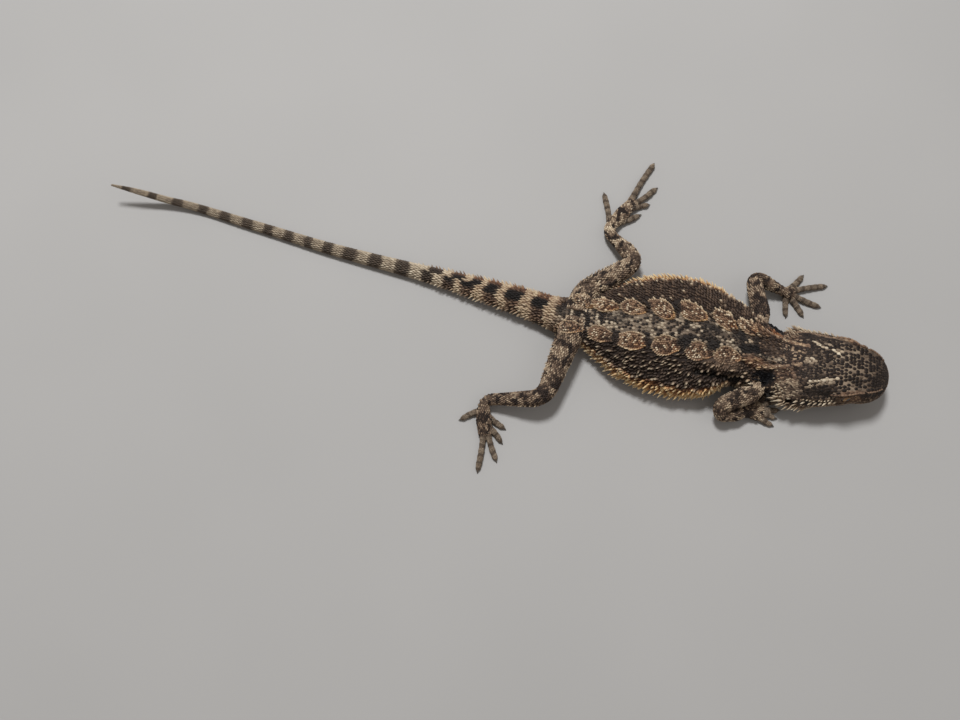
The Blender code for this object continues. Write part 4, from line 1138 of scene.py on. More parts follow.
# The tones of a scale at its core, its rim and its tip, from 0 (dark) to 1 (pale), its warmth
# (0 grey brown, 1 orange) and its share of black, from where it stands on the body.
def readMarkings(place, part, along, across, turn, luck):
    drawn = {label: np.zeros(len(place)) for label in ("core", "rim", "tip", "warm", "ink")}

    def lay(mask, **tones):
        for label, tone in tones.items():
            drawn[label] = mixed(drawn[label], tone, np.clip(mask, 0, 1))

    x, y, z = place.T
    scales = dict(
        place=place, x=x, y=y, z=z, part=part, along=along, across=across, fold=foldOf(turn),
        body=part == 0, limb=(part > 0) & (part < 10), toe=part > 10,
        fine=mottle(place, 0.8, 1), middle=mottle(place, 1.9, 2), broad=mottle(place, 4.5, 3),
        luck=luck, speck=luck - 0.5,
    )
    for layRegion in (layTrunk, layPatches, layFringe, layTail, layHead, layLinesBlotsAndShade,
                      layLimbs):
        layRegion(lay, **scales)
    return drawn


# A scale's closed shell on eight directions round its root (0 is the lie): a sunken rim, a
# shoulder, a plateau and a peak. A kind gives length, width and height over the gauge, how far the
# rim's tip points and lifts, the shoulder's share of the rim, the keel, how deep the rim sinks and
# how much of the core's tone is lost at the shoulder.
scaleShape = {
    "sides": 8,
    "plateau": 0.62,  # over the shoulder
    "bakeSize": 0.0015,  # a scale's or spine's own patch of the bake map
    "kinds": {
        "crown": (1.52, 1.12, 0.26, 0.04, 0.02, 0.83, 0.0, 0.05, 0.12),
        "plate": (1.14, 1.12, 0.22, 0.02, 0.02, 0.80, 0.0, 0.05, 0.20),
        "back": (1.20, 1.06, 0.30, 0.20, 0.12, 0.76, 0.2, 0.08, 0.20),
        "raised": (1.22, 1.06, 0.46, 0.25, 0.22, 0.70, 0.3, 0.08, 0.40),
        "flank": (1.22, 0.94, 0.44, 0.40, 0.34, 0.68, 0.5, 0.10, 0.45),
        "spiny": (1.50, 0.96, 0.78, 0.80, 0.95, 0.60, 0.9, 0.10, 0.45),
        "belly": (1.20, 1.10, 0.14, 0.10, 0.02, 0.80, 0.0, 0.05, 0.45),
        "tail": (1.60, 0.94, 0.36, 0.42, 0.24, 0.68, 0.8, 0.10, 0.45),
        "limb": (1.20, 1.02, 0.34, 0.28, 0.22, 0.72, 0.4, 0.10, 0.35),
        "toe": (1.24, 1.10, 0.26, 0.15, 0.06, 0.76, 0.1, 0.06, 0.45),
        "brow": (1.40, 1.02, 0.50, 0.30, 0.25, 0.72, 0.5, 0.10, 0.45),
        "lid": (1.10, 0.98, 0.34, 0.20, 0.15, 0.74, 0.0, 0.06, 0.45),
        "lip": (1.24, 1.08, 0.26, 0.05, 0.02, 0.80, 0.0, 0.06, 0.45),
    },
}


# Many closed cones in one piece. Each cone's points are rings from its root up, then its tip; its
# patch of the bake map lies where its root does on the flattened body.
def conesPiece(name, points, sides, tone, tones, roots, patch):
    count, per = points.shape[:2]
    points[..., 2] = np.maximum(points[..., 2], 0.0)
    j = np.arange(sides)
    k = (j + 1) % sides
    low = np.arange(0, per - 1 - sides, sides)[:, None]
    quads = np.stack([low + j, low + k, low + sides + k, low + sides + j], -1)
    top = per - 1 - sides
    caps = np.stack([top + j, top + k, np.full(sides, per - 1)], -1)
    cell = np.concatenate([quads.ravel(), caps.ravel(), j[::-1]])
    corners = (np.arange(count)[:, None] * per + cell[None, :]).ravel()
    sizes = np.tile([4] * quads[..., 0].size + [3] * sides + [sides], count)
    values = {"tone": tone.ravel()}
    for label in ("warm", "ink", "luck"):
        values[label] = np.repeat(tones[label], per)
    flat = roots["flat"]
    flat = 0.01 + 0.98 * (flat - flat.min(0)) / np.maximum(np.ptp(flat, axis=0), 1e-6)
    bakeMap = (flat[:, None, :] + patch * scaleShape["bakeSize"]).reshape(-1, 2)
    return meshPiece(name, points.reshape(-1, 3), corners, sizes, values, bakeMap)


def scalePiece(name, roots, kinds, tones):
    sides = scaleShape["sides"]
    table = scaleShape["kinds"]
    form = np.array([table[kind] for kind in kinds])
    length, width, height, point, lift, shoulder, keel, sink, lost = form.T[:, :, None]
    turn = np.arange(sides) * 2 * math.pi / sides
    size = (roots["gauge"] * dice.uniform(0.90, 1.12, len(kinds)))[:, None]
    forward = np.maximum(np.cos(turn), 0)[None, :] ** 2
    first = (np.arange(sides) == 0)[None, :]
    ridge = 1 + keel * (np.cos(2 * turn)[None, :] * 0.5 - 0.1)
    rimX = size * length / 2 * (np.cos(turn)[None, :] + point * first)
    rimY = size * width / 2 * np.sin(turn)[None, :] * (1 - 0.3 * point * forward)
    rimZ = -sink + size * lift * forward * np.where(first, 1.0, 0.5)
    plateau = shoulder * scaleShape["plateau"]
    rings = [
        (rimX, rimY, rimZ),
        (rimX * shoulder, rimY * shoulder, size * (height * 0.62 * ridge + lift * 0.7 * forward)),
        (rimX * plateau, rimY * plateau, size * (height * 0.94 * ridge + lift * 0.4 * forward)),
        (size * 0.05 * point, size * 0, size * (height * (1 + 0.1 * keel) + 0.1 * lift)),
    ]
    local = np.concatenate([np.stack(np.broadcast_arrays(*ring), -1) for ring in rings], axis=1)
    lie = unit(roots["lie"] - roots["normal"] * (roots["lie"] * roots["normal"]).sum(-1)[:, None])
    axes = np.stack([lie, np.cross(roots["normal"], lie), roots["normal"]], 1)
    points = roots["place"][:, None, :] + local @ axes
    core, rim, tip = (tones[label][:, None] for label in ("core", "rim", "tip"))
    ahead = forward * np.clip(0.35 + point, 0, 1)
    tone = np.concatenate([mixed(rim, tip, ahead), mixed(mixed(core, rim, lost), tip, ahead),
                           mixed(core, tip, ahead * keel * 0.8), core], 1)
    patch = local[..., :2] / np.abs(local[..., :2]).max()
    return conesPiece(name, points, sides, tone, tones, roots, patch)


def tonesOf(roots):
    luck = dice.random(len(roots["place"]))
    tones = readMarkings(roots["place"], roots["part"], roots["along"], roots["across"],
                         roots["turn"], luck)
    return dict(tones, luck=luck)


# One socket of a shader tree, so that shader maths reads as plain sums.
class Wire:
    def __init__(self, tree, socket=None):
        self.tree = tree
        self.socket = socket

    def node(self, kind, settings, inputs, output=0):
        made = self.tree.nodes.new(kind)
        for label, value in settings.items():
            if label == "stops":
                ramp = made.color_ramp
                while len(ramp.elements) < len(value):
                    ramp.elements.new(0.5)
                for element, (place, colour) in zip(ramp.elements, value):
                    element.position = place
                    element.color = (*colour, 1.0)
            else:
                setattr(made, label, value)
        for label, value in inputs.items():
            if isinstance(value, Wire):
                self.tree.links.new(value.socket, made.inputs[label])
            else:
                made.inputs[label].default_value = value
        return Wire(self.tree, made.outputs[output])

    def math(self, operation, a, b=0.0, clamp=False):
        settings = {"operation": operation, "use_clamp": clamp}
        return self.node("ShaderNodeMath", settings, {0: a, 1: b})

    def __add__(self, other):
        return self.math("ADD", self, other)

    def __sub__(self, other):
        return self.math("SUBTRACT", self, other)

    def __rsub__(self, other):
        return self.math("SUBTRACT", other, self)

    def __mul__(self, other):
        return self.math("MULTIPLY", self, other)

    __radd__, __rmul__ = __add__, __mul__

    def clamped(self):
        return self.math("ADD", self, 0.0, clamp=True)

    def above(self, low, high):  # 0 below low, 1 above high
        return self.math("DIVIDE", self - low, high - low, clamp=True)

    def blend(self, a, b):  # colour a where this is 0 and colour b where it is 1
        return self.node("ShaderNodeMix", {"data_type": "RGBA"}, {0: self, 6: a, 7: b}, 2)

    def noise(self, scale, detail=2.0, roughness=0.5):
        place = self.node("ShaderNodeTexCoord", {}, {}, 3)
        return self.node("ShaderNodeTexNoise", {}, {"Vector": place, "Scale": scale,
                         "Detail": detail, "Roughness": roughness})

    def attribute(self, label):
        return self.node("ShaderNodeAttribute", {"attribute_name": label}, {}, 2)


def newMaterial(name):
    material = bpy.data.materials.new(name)
    material.use_nodes = True
    return Wire(material.node_tree), material.node_tree.nodes["Principled BSDF"], material


def plug(wire, shader, label):
    wire.tree.links.new(wire.socket, shader.inputs[label])


hideColours = {
    "grey": ((0.0, (0.011, 0.009, 0.008)), (0.15, (0.034, 0.027, 0.022)),
             (0.35, (0.104, 0.083, 0.062)), (0.55, (0.240, 0.201, 0.152)),
             (0.75, (0.440, 0.377, 0.286)), (1.0, (0.760, 0.680, 0.550))),
    "warm": ((0.0, (0.020, 0.008, 0.006)), (0.25, (0.120, 0.048, 0.024)),
             (0.50, (0.360, 0.140, 0.052)), (0.70, (0.560, 0.280, 0.090)),
             (0.85, (0.680, 0.430, 0.165)), (1.0, (0.800, 0.620, 0.330))),
    "black": (0.006, 0.006, 0.008, 1.0),
}


# Reptile hide: the piece's tone picks a colour from a grey-brown and a warm ramp, its warmth mixes
# them, black darkens them; fine noise mottles the colour, the roughness and the bump.
def hideMaterial(name, mottling=0.10, fine=5200, rough=(0.46, 0.72), bump=0.35):
    wire, shader, material = newMaterial(name)
    grain = wire.noise(fine, 3.0, 0.6)
    specks = wire.noise(fine * 0.28, 2.0)
    tone = wire.attribute("tone") + (grain - 0.5) * mottling + (specks - 0.5) * mottling
    tone = tone + (wire.attribute("luck") - 0.5) * 0.06
    grey, warm = (wire.node("ShaderNodeValToRGB", {"stops": hideColours[label]}, {0: tone})
                  for label in ("grey", "warm"))
    colour = (wire.attribute("warm") + (specks - 0.5) * 0.2).clamped().blend(grey, warm)
    colour = (wire.attribute("ink") * 0.9).clamped().blend(colour, hideColours["black"])
    plug(colour, shader, "Base Color")
    low, high = rough
    plug(low + grain * (high - low), shader, "Roughness")
    relief = grain * 0.6 + wire.noise(fine * 3.1, 2.0) * 0.4
    bumped = wire.node("ShaderNodeBump", {}, {"Strength": bump, "Distance": 0.00005,
                                             "Height": relief})
    plug(bumped, shader, "Normal")
    shader.inputs["Specular IOR Level"].default_value = 0.22
    return material


def clawMaterial():
    wire, shader, material = newMaterial("clawHorn")
    streaks = wire.noise(6000, 2.0)
    colour = streaks.above(0.35, 0.7).blend((0.045, 0.034, 0.026, 1), (0.15, 0.115, 0.08, 1))
    plug(colour, shader, "Base Color")
    plug(0.28 + streaks * 0.2, shader, "Roughness")
    return material


# An eye by the angle from its gaze: a round pupil, an amber iris with radial streaks and a dark
# edge, and the dark white of a lizard's eye, all under a clear wet coat.
def eyeMaterial():
    wire, shader, material = newMaterial("eyeGlaze")
    ring = wire.attribute("ring")
    streaks = wire.noise(9000, 3.0, 0.7)
    iris = (streaks + ring.above(12, 34) * 0.20).above(0.42, 0.82).blend(
        (0.16, 0.06, 0.015, 1), (0.56, 0.31, 0.08, 1))
    edge = ring.above(30, 37).blend(iris, (0.05, 0.03, 0.02, 1))
    colour = ring.above(13.5, 15).blend((0.002, 0.002, 0.002, 1), edge)
    plug(colour, shader, "Base Color")
    plug(0.18 + ring.above(36, 50) * 0.2, shader, "Roughness")
    shader.inputs["Specular IOR Level"].default_value = 0.1
    shader.inputs["Coat Weight"].default_value = 0.8
    shader.inputs["Coat Roughness"].default_value = 0.03
    return material


def floorMaterial():
    wire, shader, material = newMaterial("floorPaint")
    cloud = wire.noise(14, 2.0)
    plug(cloud.above(0.3, 0.7).blend((0.405, 0.402, 0.396, 1), (0.425, 0.421, 0.415, 1)),
         shader, "Base Color")
    shader.inputs["Roughness"].default_value = 0.85
    return material


headHide = hideMaterial("headHide", mottling=0.12)
backHide = hideMaterial("backHide", mottling=0.12)
tailHide = hideMaterial("tailHide", mottling=0.10)
limbHide = hideMaterial("limbHide", mottling=0.12)
skinHide = hideMaterial("skinHide", mottling=0.14, rough=(0.6, 0.85), bump=0.5)
spineHorn = hideMaterial("spineHorn", mottling=0.06, rough=(0.34, 0.55), bump=0.15)


def dress(piece, material):
    piece.data.materials.clear()
    piece.data.materials.append(material)
    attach(piece, "root")


def clearOfHeadParts(roots):
    place = roots["place"]
    kept = np.ones(len(place), bool)
    for left in (True, False):
        for label, size in (("eye", (2.15, 1.6)), ("ear", headParts["earSize"]),
                            ("nostril", (0.5, 0.5))):
            q, away, _ = openingReach(place, label, size, left)
            kept &= (q > 1.05) | (np.abs(away) > 2)
    drop, inReach = mouthLine(place)
    return kept & ~((np.abs(drop) < 0.72) & (inReach > 0.5) & (roots["along"] > 30))


# x where the head's and the tail's scales begin, and the angle from the side where those of the
# belly and of the throat do.
coatBorder = {"head": 25.0, "tail": -26.0, "belly": -28.0, "throat": -30.0, "bellyPiece": -10.0}


def bodyKinds(roots, luck):
    along, fold, (x, y) = roots["along"], foldOf(roots["turn"]), roots["place"][:, :2].T
    kinds = np.full(len(x), "flank", object)
    kinds[(np.abs(roots["across"]) < bandHalf(along)) & (fold > 0)] = "back"
    kinds[(kinds == "flank") & (luck > np.where(y > 0, 0.93, 0.76))] = "spiny"
    low, high = markings["patchEdge"]
    for patch in markings["patches"]:
        q = patchReach(x, y, patch)
        kinds[(q < high) & (fold > 5)] = "raised"
        kinds[(q < high) & (q > low) & (fold > 5) & (luck > 0.7)] = "spiny"
    kinds[fold < coatBorder["belly"]] = "belly"
    kinds[along < coatBorder["tail"]] = "tail"
    head = along > coatBorder["head"]
    kinds[head & (fold > coatBorder["throat"])] = "plate"
    kinds[head & (fold > curveThrough(coatGauge["crownEdge"])(along))] = "crown"
    kinds[head & (fold <= coatBorder["throat"])] = "belly"
    return kinds


# Turns the flanks' scales outwards from the backbone, by up to the given angle.
def fannedOut(roots, degrees):
    share = eased(2.5, 5.5, np.abs(roots["across"])) * eased(-26, -20, roots["along"])
    share = share * eased(24, 20, roots["along"])
    turn = degrees * share * np.sign(-roots["across"]) + dice.normal(0, 14, len(share)) * share
    turn = np.radians(turn)[:, None]
    beside = np.cross(roots["normal"], roots["lie"])
    return dict(roots, lie=roots["lie"] * np.cos(turn) + beside * np.sin(turn))


allBody = fannedOut(pickedRoots(allBody, clearOfHeadParts(allBody)), 32.0)
bodyTones = tonesOf(allBody)
bodyKind = bodyKinds(allBody, bodyTones["luck"])


def bodyPiece(name, mask, material):
    tones = {label: values[mask] for label, values in bodyTones.items()}
    dress(scalePiece(name, pickedRoots(allBody, mask), bodyKind[mask], tones), material)
    print(name, mask.sum(), "scales")


isHead = allBody["along"] > coatBorder["head"]
isTail = allBody["along"] < coatBorder["tail"]
isBack = foldOf(allBody["turn"]) > coatBorder["bellyPiece"]
bodyPiece("headScales", isHead, headHide)
bodyPiece("backScales", ~isHead & ~isTail & isBack, backHide)
bodyPiece("bellyScales", ~isHead & ~isTail & ~isBack, backHide)
bodyPiece("tailScales", isTail, tailHide)


def limbPiece(name, roots, kind, front):
    roots = pickedRoots(roots, np.isin(roots["part"] % 10, (1, 2) if front else (3, 4)))
    piece = scalePiece(name, roots, [kind] * len(roots["place"]), tonesOf(roots))
    dress(piece, limbHide)
    print(name, len(roots["place"]), "scales")


limbPiece("forelegScales", allLimbs, "limb", True)
limbPiece("hindlegScales", allLimbs, "limb", False)
limbPiece("foreToeScales", allToes, "toe", True)
limbPiece("hindToeScales", allToes, "toe", False)


# Scales of the face: rings on the lids, rows along the brow and above and below the mouth.
faceRows = {
    # kind, points x and angle along the row, number, gauge
    "brows": (
        ("brow", ((37.6, 35), (39.6, 40), (41.6, 42), (43.6, 43), (45.2, 44)), 11, 0.72),
        ("brow", ((45.8, 45), (47.6, 47), (49.6, 49)), 7, 0.56),
    ),
    # core, rim, tip, warmth
    "tones": {"lid": (0.44, 0.22, 0.62, 0.24), "brow": (0.46, 0.26, 0.66, 0.30),
              "lip": (0.50, 0.26, 0.60, 0.16)},
}


def lidRoots(left):
    centre, outward, forward, sideways = eyeFrame(left)
    reach = headParts["eyeRadius"] + headParts["lidThickness"]
    made = []
    for ring, (a, b, number) in enumerate(headParts["lidRings"]):
        turn = (np.arange(number) + 0.5 * (ring % 2)) * 2 * math.pi / number
        u, v = a * np.cos(turn), b * np.sin(turn)
        w = np.sqrt(np.maximum(reach**2 - u**2 - v**2, 0.2))
        place = centre + np.stack([u, v, w], -1) @ np.stack([forward, sideways, outward])
        lie = np.stack([u / a**2, v / b**2], -1) @ np.stack([forward, sideways])
        made.append(looseRoots(place, unit(place - centre), 0.30 + 0.05 * ring, unit(lie)))
    return joinedRoots(made)


def browRoots(line, number, gauge, left):
    share = (np.arange(number) + 0.5) / number * (len(line) - 1)
    x, angle = (np.interp(share, range(len(line)), column) for column in zip(*line))
    turn = angle if left else 180.0 - angle
    roots = rootsAt(bodySurface, x, turn, 0, gauge, 0, bodyFlat, 0.0)
    return dict(roots, across=roots["place"][:, 1] - middleY(x))


# Rows above and below the mouth: rays from the mouth's middle out to the skin.
def lipRoots():
    cx, cy = headParts["mouthCentre"]
    gauge = headParts["lipGauge"]
    made = []
    for row, drop in enumerate(headParts["lipRows"]):
        heading = np.linspace(-headParts["mouthTurn"], headParts["mouthTurn"], 400)
        hits = []
        for angle in heading:
            toward = Vector((math.cos(math.radians(angle)), math.sin(math.radians(angle)), 0))
            height = headParts["mouthHeight"] + mouthLift(angle) + drop
            spot, normal, _, _ = skinTree.ray_cast(Vector((cx, cy, height)) * mm, toward)
            hits.append((*(spot / mm), *normal))
        hits = np.array(hits)
        run = np.append(0, np.cumsum(np.linalg.norm(np.diff(hits[:, :3], axis=0), axis=1)))
        wanted = np.arange(0.5 * (row % 2) * gauge, run[-1], gauge)
        place, normal = (np.stack([np.interp(wanted, run, hits[:, k]) for k in axes], -1)
                         for axes in ((0, 1, 2), (3, 4, 5)))
        lie = np.gradient(place, axis=0) * np.sign(place[:, 1:2] - cy)
        made.append(looseRoots(place, unit(normal), gauge * 0.96, unit(lie)))
    return joinedRoots(made)


def makeFace():
    rows = [("lip", lipRoots())]
    for left in (True, False):
        rows.append(("lid", lidRoots(left)))
        rows += [(kind, browRoots(line, number, gauge, left))
                 for kind, line, number, gauge in faceRows["brows"]]
    kinds, made, tones = [], [], []
    for kind, roots in rows:
        roots = settled(roots, 0.9, -0.8, kind == "brow")
        drawn = tonesOf(roots)
        for label, tone in zip(("core", "rim", "tip", "warm"), faceRows["tones"][kind]):
            tone = tone + 0.2 * (drawn["luck"] - 0.5) * (label == "core")
            drawn[label] = mixed(drawn[label], tone, 0.8)
        kinds += [kind] * len(roots["place"])
        made.append(roots)
        tones.append(drawn)
    piece = scalePiece("faceScales", joinedRoots(made), kinds, joinedRoots(tones))
    dress(piece, headHide)
    print("faceScales", len(kinds), "scales")


makeFace()


# The skin's own markings, from the nearest root and the way from it, with painted shade darkening
# the openings.
def markSkin():
    roots = joinedRoots([allBody, allLimbs, allToes])
    nearest = nearestOf(roots["place"], skinPlace)
    part = roots["part"][nearest]
    step = skinPlace - roots["place"][nearest]
    lie, normal = roots["lie"][nearest], roots["normal"][nearest]
    towards = np.where(part == 0, -1.0, 1.0)
    along = roots["along"][nearest] + (step * lie).sum(-1) * towards
    across = roots["across"][nearest] + (step * np.cross(lie, normal)).sum(-1)
    luck = np.full(len(part), 0.55)
    tones = readMarkings(skinPlace, part, along, across, roots["turn"][nearest], luck)
    # painted shade: the skin darkens in the mouth's groove and inside the ears, the nostrils and
    # the lids
    drop, inReach = mouthLine(skinPlace)
    openingShade = np.exp(-((drop / 0.2) ** 2)) * inReach
    for left in (True, False):
        for label, size in (("ear", headParts["earSize"]), ("nostril", (0.34, 0.34)),
                            ("eye", headParts["opening"])):
            q, away, _ = openingReach(skinPlace, label, size, left)
            openingShade = np.maximum(openingShade, eased(1.1, 0.8, q) * (np.abs(away) < 1.6))
    openingShade = openingShade * (skinPlace[:, 0] > 27)
    net = mixed(0.75, 0.95, eased(26, 30, along) * (part == 0))
    addValues(skin.data, dict(tone=tones["rim"] * net * (1 - 0.85 * openingShade), warm=tones["warm"],
                              ink=tones["ink"], luck=luck))


markSkin()
dress(skin, skinHide)
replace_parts(skin, *[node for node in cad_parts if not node.startswith("eye_")])
print("skin marked")


# Rows on the body: first and last x, number a side, angle up from the side, length at the ends
# and in the middle, width, lean towards the tail, how much angle and length vary, side, look.
spineRows = {
    "flankSpines": (
        (-20.5, 18.4, 34, -4.0, (1.0, 1.90), 0.70, 0.45, (2.0, 0.25), "right", "fringe"),
        (-20.5, 18.2, 32, 4.0, (1.0, 1.70), 0.72, 0.5, (2.0, 0.28), "right", "fringe"),
        (-20.5, 17.6, 30, 12.0, (0.8, 1.35), 0.72, 0.6, (2.2, 0.32), "right", "fringe"),
        (-20.0, 16.0, 24, 20.0, (0.7, 1.05), 0.64, 0.8, (3.5, 0.32), "right", "fringe"),
        (-20.0, 17.0, 40, -11.0, (0.7, 1.10), 0.50, 0.8, (2.2, 0.25), "right", "dull"),
        (-20.5, 17.6, 42, -2.0, (0.8, 1.30), 0.52, 0.7, (2.4, 0.25), "left", "dull"),
        (-20.5, 17.6, 42, 5.0, (0.8, 1.45), 0.62, 0.7, (2.4, 0.25), "left", "fringe"),
        (-19.5, 16.8, 42, 11.0, (0.8, 1.35), 0.62, 0.7, (2.4, 0.25), "left", "fringe"),
        (-18.0, 15.0, 36, 17.0, (0.7, 1.15), 0.58, 0.7, (3.0, 0.3), "left", "fringe"),
        (-16.0, 12.0, 26, 23.0, (0.5, 0.80), 0.50, 0.8, (3.5, 0.3), "left", "fringe"),
        (-19.0, 15.6, 36, -10.0, (0.7, 1.00), 0.48, 0.8, (2.4, 0.25), "left", "dull"),
    ),
    "tailSpines": (
        (-62.0, -26.6, 34, 14.0, (0.7, 1.35), 0.50, 0.7, (4.0, 0.22), "both", "pale"),
        (-60.0, -26.8, 32, 3.0, (0.7, 1.30), 0.50, 0.7, (4.0, 0.22), "both", "pale"),
        (-56.0, -26.8, 28, -8.0, (0.6, 1.10), 0.46, 0.8, (4.0, 0.22), "both", "pale"),
        (-54.0, -26.8, 26, 27.0, (0.6, 1.00), 0.48, 1.0, (5.0, 0.22), "both", "pale"),
        (-50.0, -27.0, 20, 42.0, (0.5, 0.85), 0.46, 1.2, (6.0, 0.2), "both", "pale"),
        (-47.0, -27.0, 16, 60.0, (0.5, 0.75), 0.44, 1.3, (6.0, 0.2), "both", "pale"),
    ),
    "headSpines": (
        (27.2, 31.4, 8, 7.0, (1.0, 1.4), 0.46, 0.9, (3.0, 0.2), "both", "bone"),
        (27.2, 32.0, 9, -1.0, (1.3, 1.8), 0.50, 0.9, (3.0, 0.18), "both", "bone"),
        (27.2, 33.6, 11, -10.0, (1.4, 1.95), 0.50, 0.95, (3.0, 0.18), "both", "bone"),
        (27.4, 35.0, 12, -20.0, (1.3, 1.8), 0.42, 1.0, (3.0, 0.18), "both", "bone"),
        (27.6, 36.6, 13, -31.0, (0.9, 1.5), 0.40, 1.0, (3.0, 0.18), "both", "bone"),
        (28.0, 38.0, 14, -43.0, (0.7, 1.2), 0.38, 1.1, (3.0, 0.2), "both", "bone"),
        (28.2, 38.0, 12, -60.0, (0.6, 0.9), 0.36, 1.2, (4.0, 0.2), "both", "bone"),
        (29.4, 39.9, 9, 15.5, (0.85, 1.1), 0.62, 1.3, (0.8, 0.12), "both", "white"),
        (31.4, 38.6, 9, 21.5, (0.45, 0.6), 0.44, 1.3, (1.2, 0.15), "both", "bone"),
        (30.2, 38.8, 12, 5.5, (0.40, 0.6), 0.36, 1.2, (1.5, 0.15), "both", "bone"),
    ),
    "neckSpines": (
        (26.4, 28.4, 4, 14.0, (0.5, 0.8), 0.36, 0.7, (5.0, 0.2), "both", "bone"),
        (26.4, 28.6, 4, 26.0, (0.5, 0.85), 0.38, 0.6, (5.0, 0.2), "both", "bone"),
        (26.2, 28.8, 5, 38.0, (0.5, 0.85), 0.38, 0.6, (5.0, 0.2), "both", "bone"),
        (25.6, 28.6, 5, 50.0, (0.5, 0.8), 0.38, 0.6, (5.0, 0.2), "both", "bone"),
        (24.8, 28.8, 5, 66.0, (0.4, 0.65), 0.34, 0.6, (5.0, 0.2), "both", "bone"),
        (24.8, 28.6, 4, 80.0, (0.4, 0.55), 0.32, 0.6, (4.0, 0.2), "both", "bone"),
    ),
}
# Rows seen from above: points x, y along the row, spacing, length, width, look.
spineLines = (
    (((14.1, -10.0), (17.2, -8.7), (19.6, -8.3), (21.8, -8.6), (24.4, -7.6)),
     0.62, 0.75, 0.40, "white"),
    (((20.6, 5.0), (22.6, 4.0), (24.8, 3.2), (28.4, 1.9)), 0.7, 0.45, 0.36, "bone"),
    (((19.0, -4.2), (22.4, -4.6), (26.9, -3.9)), 0.7, 0.45, 0.36, "bone"),
)
# Rows on the limbs: limb, first and last share of its length, number, angle, length, width.
limbSpineRows = (
    (2, 0.14, 0.40, 15, 12.0, 0.85, 0.44), (2, 0.16, 0.38, 12, 40.0, 0.65, 0.42),
    (2, 0.44, 0.66, 12, 170.0, 0.60, 0.38), (2, 0.16, 0.38, 12, 168.0, 0.60, 0.38),
    (3, 0.14, 0.40, 15, 168.0, 0.85, 0.44), (3, 0.16, 0.38, 12, 140.0, 0.65, 0.42),
    (3, 0.44, 0.68, 12, 10.0, 0.60, 0.38), (3, 0.16, 0.38, 12, 12.0, 0.60, 0.38),
    (0, 0.24, 0.50, 10, 10.0, 0.50, 0.34), (0, 0.56, 0.82, 9, 170.0, 0.45, 0.32),
    (1, 0.26, 0.50, 10, 170.0, 0.50, 0.34), (1, 0.58, 0.80, 8, 10.0, 0.45, 0.32),
)
# tone at the root and at the tip, warmth, share of the scales' own tones
spineLooks = {
    "fringe": (0.72, 1.00, 0.0, 0.25),
    "dull": (0.22, 0.74, 0.30, 0.25),
    "pale": (0.40, 0.90, 0.22, 0.70),
    "bone": (0.34, 1.00, 0.18, 0.25),
    "white": (0.72, 1.00, 0.10, 0.25),
    "limb": (0.34, 0.90, 0.20, 0.35),
}
spineShape = {
    "sides": 6,
    "levels": (0.0, 0.35, 0.65, 0.86),
    "girth": (1.0, 0.80, 0.52, 0.26),
    "sink": 0.3,
    "curl": 0.2,  # how far the tip bends back, over the length
}


# Tapered, curved cones: rings whose radius falls with the girth along root + direction * t * length
# + curl * t^2, closed by a point at the tip and a face at the root.
def spinePiece(name, roots, direction, length, width, tones):
    root, back = roots["place"], roots["lie"]
    sides = spineShape["sides"]
    turn = np.arange(sides) * 2 * math.pi / sides
    beside = unit(np.cross(direction, back + np.array([0.0, 0.0, 0.3])))
    over = np.cross(beside, direction)
    rings = []
    for level, girth in zip(spineShape["levels"], spineShape["girth"]):
        middle = root + direction * (level * length - spineShape["sink"] * (level == 0))[:, None]
        middle = middle + back * (spineShape["curl"] * level**2 * length)[:, None]
        radius = (width / 2 * girth)[:, None, None]
        around = np.cos(turn)[None, :, None] * beside[:, None]
        around = around - np.sin(turn)[None, :, None] * over[:, None]
        rings.append(middle[:, None, :] + radius * around)
    tip = root + direction * length[:, None] + back * (spineShape["curl"] * length)[:, None]
    points = np.concatenate([*rings, tip[:, None, :]], axis=1)
    share = np.append(np.repeat(spineShape["levels"], sides), 1.0)[None, :]
    tone = mixed(tones["base"][:, None], tones["tip"][:, None], share**0.6)
    circle = np.stack([np.cos(turn), np.sin(turn)], -1)
    circles = [circle * (1 - 0.22 * level) for level in range(len(rings))]
    patch = np.concatenate([*circles, [[0, 0]]])
    return conesPiece(name, points, sides, tone, tones, roots, patch)


# Roots with the length, width, lean and look of the spines that grow from them.
def spineRoots(roots, length, width, lean, look):
    sizes = np.stack(np.broadcast_arrays(length, width, lean), -1)
    return dict(roots, extra=sizes, look=np.full(len(length), look, object))


def bodySpineRoots(rows):
    made = []
    for start, end, number, angle, (low, high), width, lean, vary, side, look in rows:
        share = (np.arange(number) + 0.5) / number
        for left in (True, False):
            if side == ("right" if left else "left"):
                continue
            along = mixed(start, end, share) + dice.uniform(-0.22, 0.22, number)
            turn = angle + dice.uniform(-1, 1, number) * vary[0]
            turn = turn if left else 180 - turn
            roots = rootsAt(bodySurface, along, turn, 0, width, 0, bodyFlat,
                            -skinShape["coatDepth"])
            roots["across"] = roots["place"][:, 1] - middleY(along)
            length = mixed(low, high, np.sin(math.pi * share))
            length = length * (1 + dice.uniform(-1, 1, number) * vary[1])
            made.append(spineRoots(roots, length, width, lean, look))
    return joinedRoots(made)


def lineSpineRoots():
    made = []
    for line, spacing, size, width, look in spineLines:
        line = np.array(line)
        run = np.append(0, np.cumsum(np.linalg.norm(np.diff(line, axis=0), axis=1)))
        wanted = np.arange(0.5 * spacing, run[-1], spacing)
        points = np.stack([np.interp(wanted, run, line[:, k]) for k in (0, 1)], -1)
        roots = rootsBelow(points, width)
        length = size * dice.uniform(0.75, 1.2, len(roots["along"]))
        made.append(spineRoots(roots, length, width, 1.0, look))
    return joinedRoots(made)


